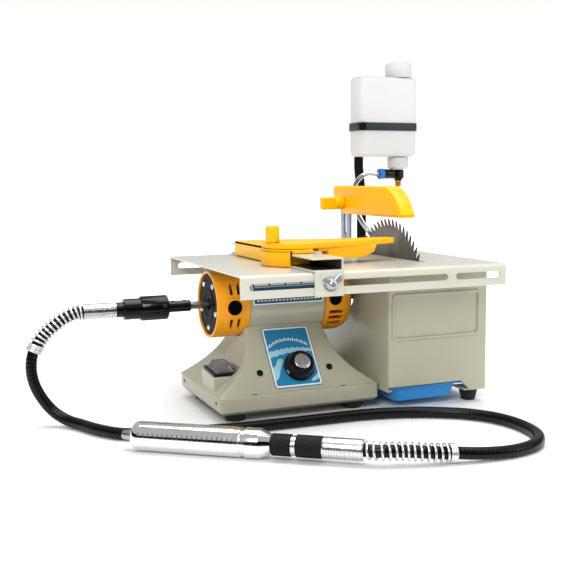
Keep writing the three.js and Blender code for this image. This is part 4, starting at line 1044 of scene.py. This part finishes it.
bm = bmesh.new()
barrel = [(0, 6), (0, 10.6), (0.6, 11.2), (1.8, 12.4), (3, 12.9)]
barrel += ribs([(0, 13.25), (3.5, 13.25), (3.9, 12.95), (4.3, 12.95)], 20, 4.4, 4.55)
barrel += [(98.6, 13.3), (99.6, 13.3), (100.6, 12.2), (103, 12.2), (104, 13.3), (116.6, 13.3), (117.4, 13.1),
           (126.4, 9), (127, 8.4), (127, 4.6)]
turn(bm, "x", barrel, sides=72)
turn(bm, "x", [(-0.2, 3.9), (-0.2, 6.5), (0.4, 7), (0.6, 4)], sides=48)
add_piece(bm, "hand_barrel", CHROME, "handpiece_body", matrix=HAND, smooth=30)


def knurled(bm, x0, x1, radius):
    """A grip with a diamond pattern between two places along it."""
    steps = int((x1 - x0) / 0.42)
    profile = [(x0, radius - 1.6), (x0, radius - 0.3)]
    profile += [(x0 + 0.3 + (x1 - x0 - 0.6) * i / steps, radius) for i in range(steps + 1)]
    profile += [(x1, radius - 0.3), (x1, radius - 1.6)]
    rings = []
    for along, r in profile:
        ring = []
        for i in range(132):
            angle = 2 * math.pi * i / 132
            cross = max(math.cos(22 * angle + 1.6 * along), math.cos(22 * angle - 1.6 * along))
            rr = r - 0.28 + 0.28 * cross if r == radius else r - 0.3
            ring.append((along, rr * math.cos(angle), rr * math.sin(angle)))
        rings.append(ring)
    return loft(bm, rings)


bm = solid(knurled, 127.4, 144.5, 9.7)
knurled(bm, 149, 171.6, 9.8)
add_piece(bm, "hand_grips", BLACK, "handpiece_grip", matrix=HAND, smooth=50)
bm = solid(turn, "x", [(144.4, 7), (144.4, 8.4), (144.8, 8.7), (148.6, 8.7), (149, 8.4), (149, 7)], sides=56)
profile = [(171.7, 5.9), (171.7, 9.1)]
profile += ribs([(0, 9.5), (1.3, 9.5), (1.5, 8.9), (1.95, 8.9)], 15, 172.4, 2.25)
turn(bm, "x", profile + [(206.4, 9.4), (207.2, 9), (207.2, 6.2)], sides=56, caps=False)
add_piece(bm, "hand_ferrule", FERRULE, "handpiece_grip", matrix=HAND, smooth=35)
bm = solid(turn, "x", [(-11.5, 0.6), (-11.5, 3.2), (-11, 3.7), (-1.4, 5.2), (-0.4, 5.0), (-0.4, 3.8),
                       (139, 3.8), (140, 3)], sides=48)
for y, z in arc(0, 0, 0.9, 90, 330, 2):
    brick(bm, (-11.6, -4), (y - 0.2, y + 0.2), (z - 0.2, z + 0.2))
add_piece(bm, "hand_chuck", STEEL, "handpiece_chuck", body="chuck", matrix=HAND, smooth=40)

# ---------------------------------------------------------------- floor and light
bm = bmesh.new()
bmesh.ops.create_grid(bm, x_segments=12, y_segments=12, size=6)
floor_mesh = bpy.data.meshes.new("floor")
bm.to_mesh(floor_mesh)
bm.free()
floor = new_object("floor", floor_mesh)
pale = Nodes("pale_glowing_floor")
pale.drive(pale.colours(pale.noise(3, 3), srgb("#F4F4F4"), srgb("#FAFAFA")), "Base Color")
pale.drive(pale.span(pale.noise(60, 3), 0.6, 0.75), "Roughness")
# Painted light: the floor glows, more strongly further from the origin, so its far parts read white.
distance = pale.add("ShaderNodeVectorMath", operation="LENGTH")
pale.link(pale.place, distance.inputs[0])
pale.fix(Emission_Color=(1, 1, 1, 1))
pale.drive(pale.span(distance.outputs["Value"], 0.0, 0.95, 0.3, 1.3), "Emission Strength")
floor_mesh.materials.append(pale.material)

world = bpy.data.worlds.new("studio")
bpy.context.scene.world = world
world.use_nodes = True
tree = world.node_tree
tree.nodes["Background"].inputs["Color"].default_value = (1, 1, 1, 1)
ray = tree.nodes.new("ShaderNodeLightPath")
strength = tree.nodes.new("ShaderNodeMapRange")
strength.inputs["To Min"].default_value = 0.5
strength.inputs["To Max"].default_value = 1.0
tree.links.new(ray.outputs["Is Camera Ray"], strength.inputs["Value"])
tree.links.new(strength.outputs["Result"], tree.nodes["Background"].inputs["Strength"])


def area_light(name, at, target, size_x, size_y, power):
    data = bpy.data.lights.new(name, "AREA")
    data.shape = "RECTANGLE"
    data.size, data.size_y = size_x, size_y
    data.energy = power
    lamp = new_object(name, data)
    lamp.location = at
    lamp.rotation_mode = "QUATERNION"
    lamp.rotation_quaternion = (Vector(target) - Vector(at)).to_track_quat("-Z", "Y")


area_light("key", (-0.9, -1.3, 1.15), (0, 0, 0.1), 0.7, 0.7, 17)
area_light("top", (0.2, 0.1, 1.7), (0, 0, 0.1), 1.6, 1.3, 30)
area_light("fill", (1.3, -1.0, 0.7), (0.05, 0, 0.15), 0.5, 0.9, 3)


def flag(name, corners):
    """A dark card that only reflections see, as a studio uses for polished metal."""
    mesh = bpy.data.meshes.new(name)
    mesh.from_pydata(corners, [], [(0, 1, 2, 3)])
    card = new_object(name, mesh)
    mesh.materials.append(finish(name, "#020202", 0.9, grain=20, bump=0.0, Specular_IOR_Level=0.0))
    card.visible_camera = False
    card.visible_diffuse = False
    card.visible_shadow = False
    card.visible_transmission = False


flag("card_front", [(-5.5, -1.9, 0.01), (1.2, -1.9, 0.01), (1.2, -1.9, 1.0), (-5.5, -1.9, 1.0)])
flag("card_low", [(-1.6, -1.8, 0.002), (1.4, -1.8, 0.002), (1.4, -0.222, 0.002), (-1.6, -0.222, 0.002)])
flag("card_left", [(-2.4, -1.2, 0.2), (-2.4, 1.6, 0.2), (-2.4, 1.6, 1.1), (-2.4, -1.2, 1.1)])
flag("card_right", [(2.4, -1.4, 0.2), (2.4, 1.4, 0.2), (2.4, 1.4, 0.9), (2.4, -1.4, 0.9)])
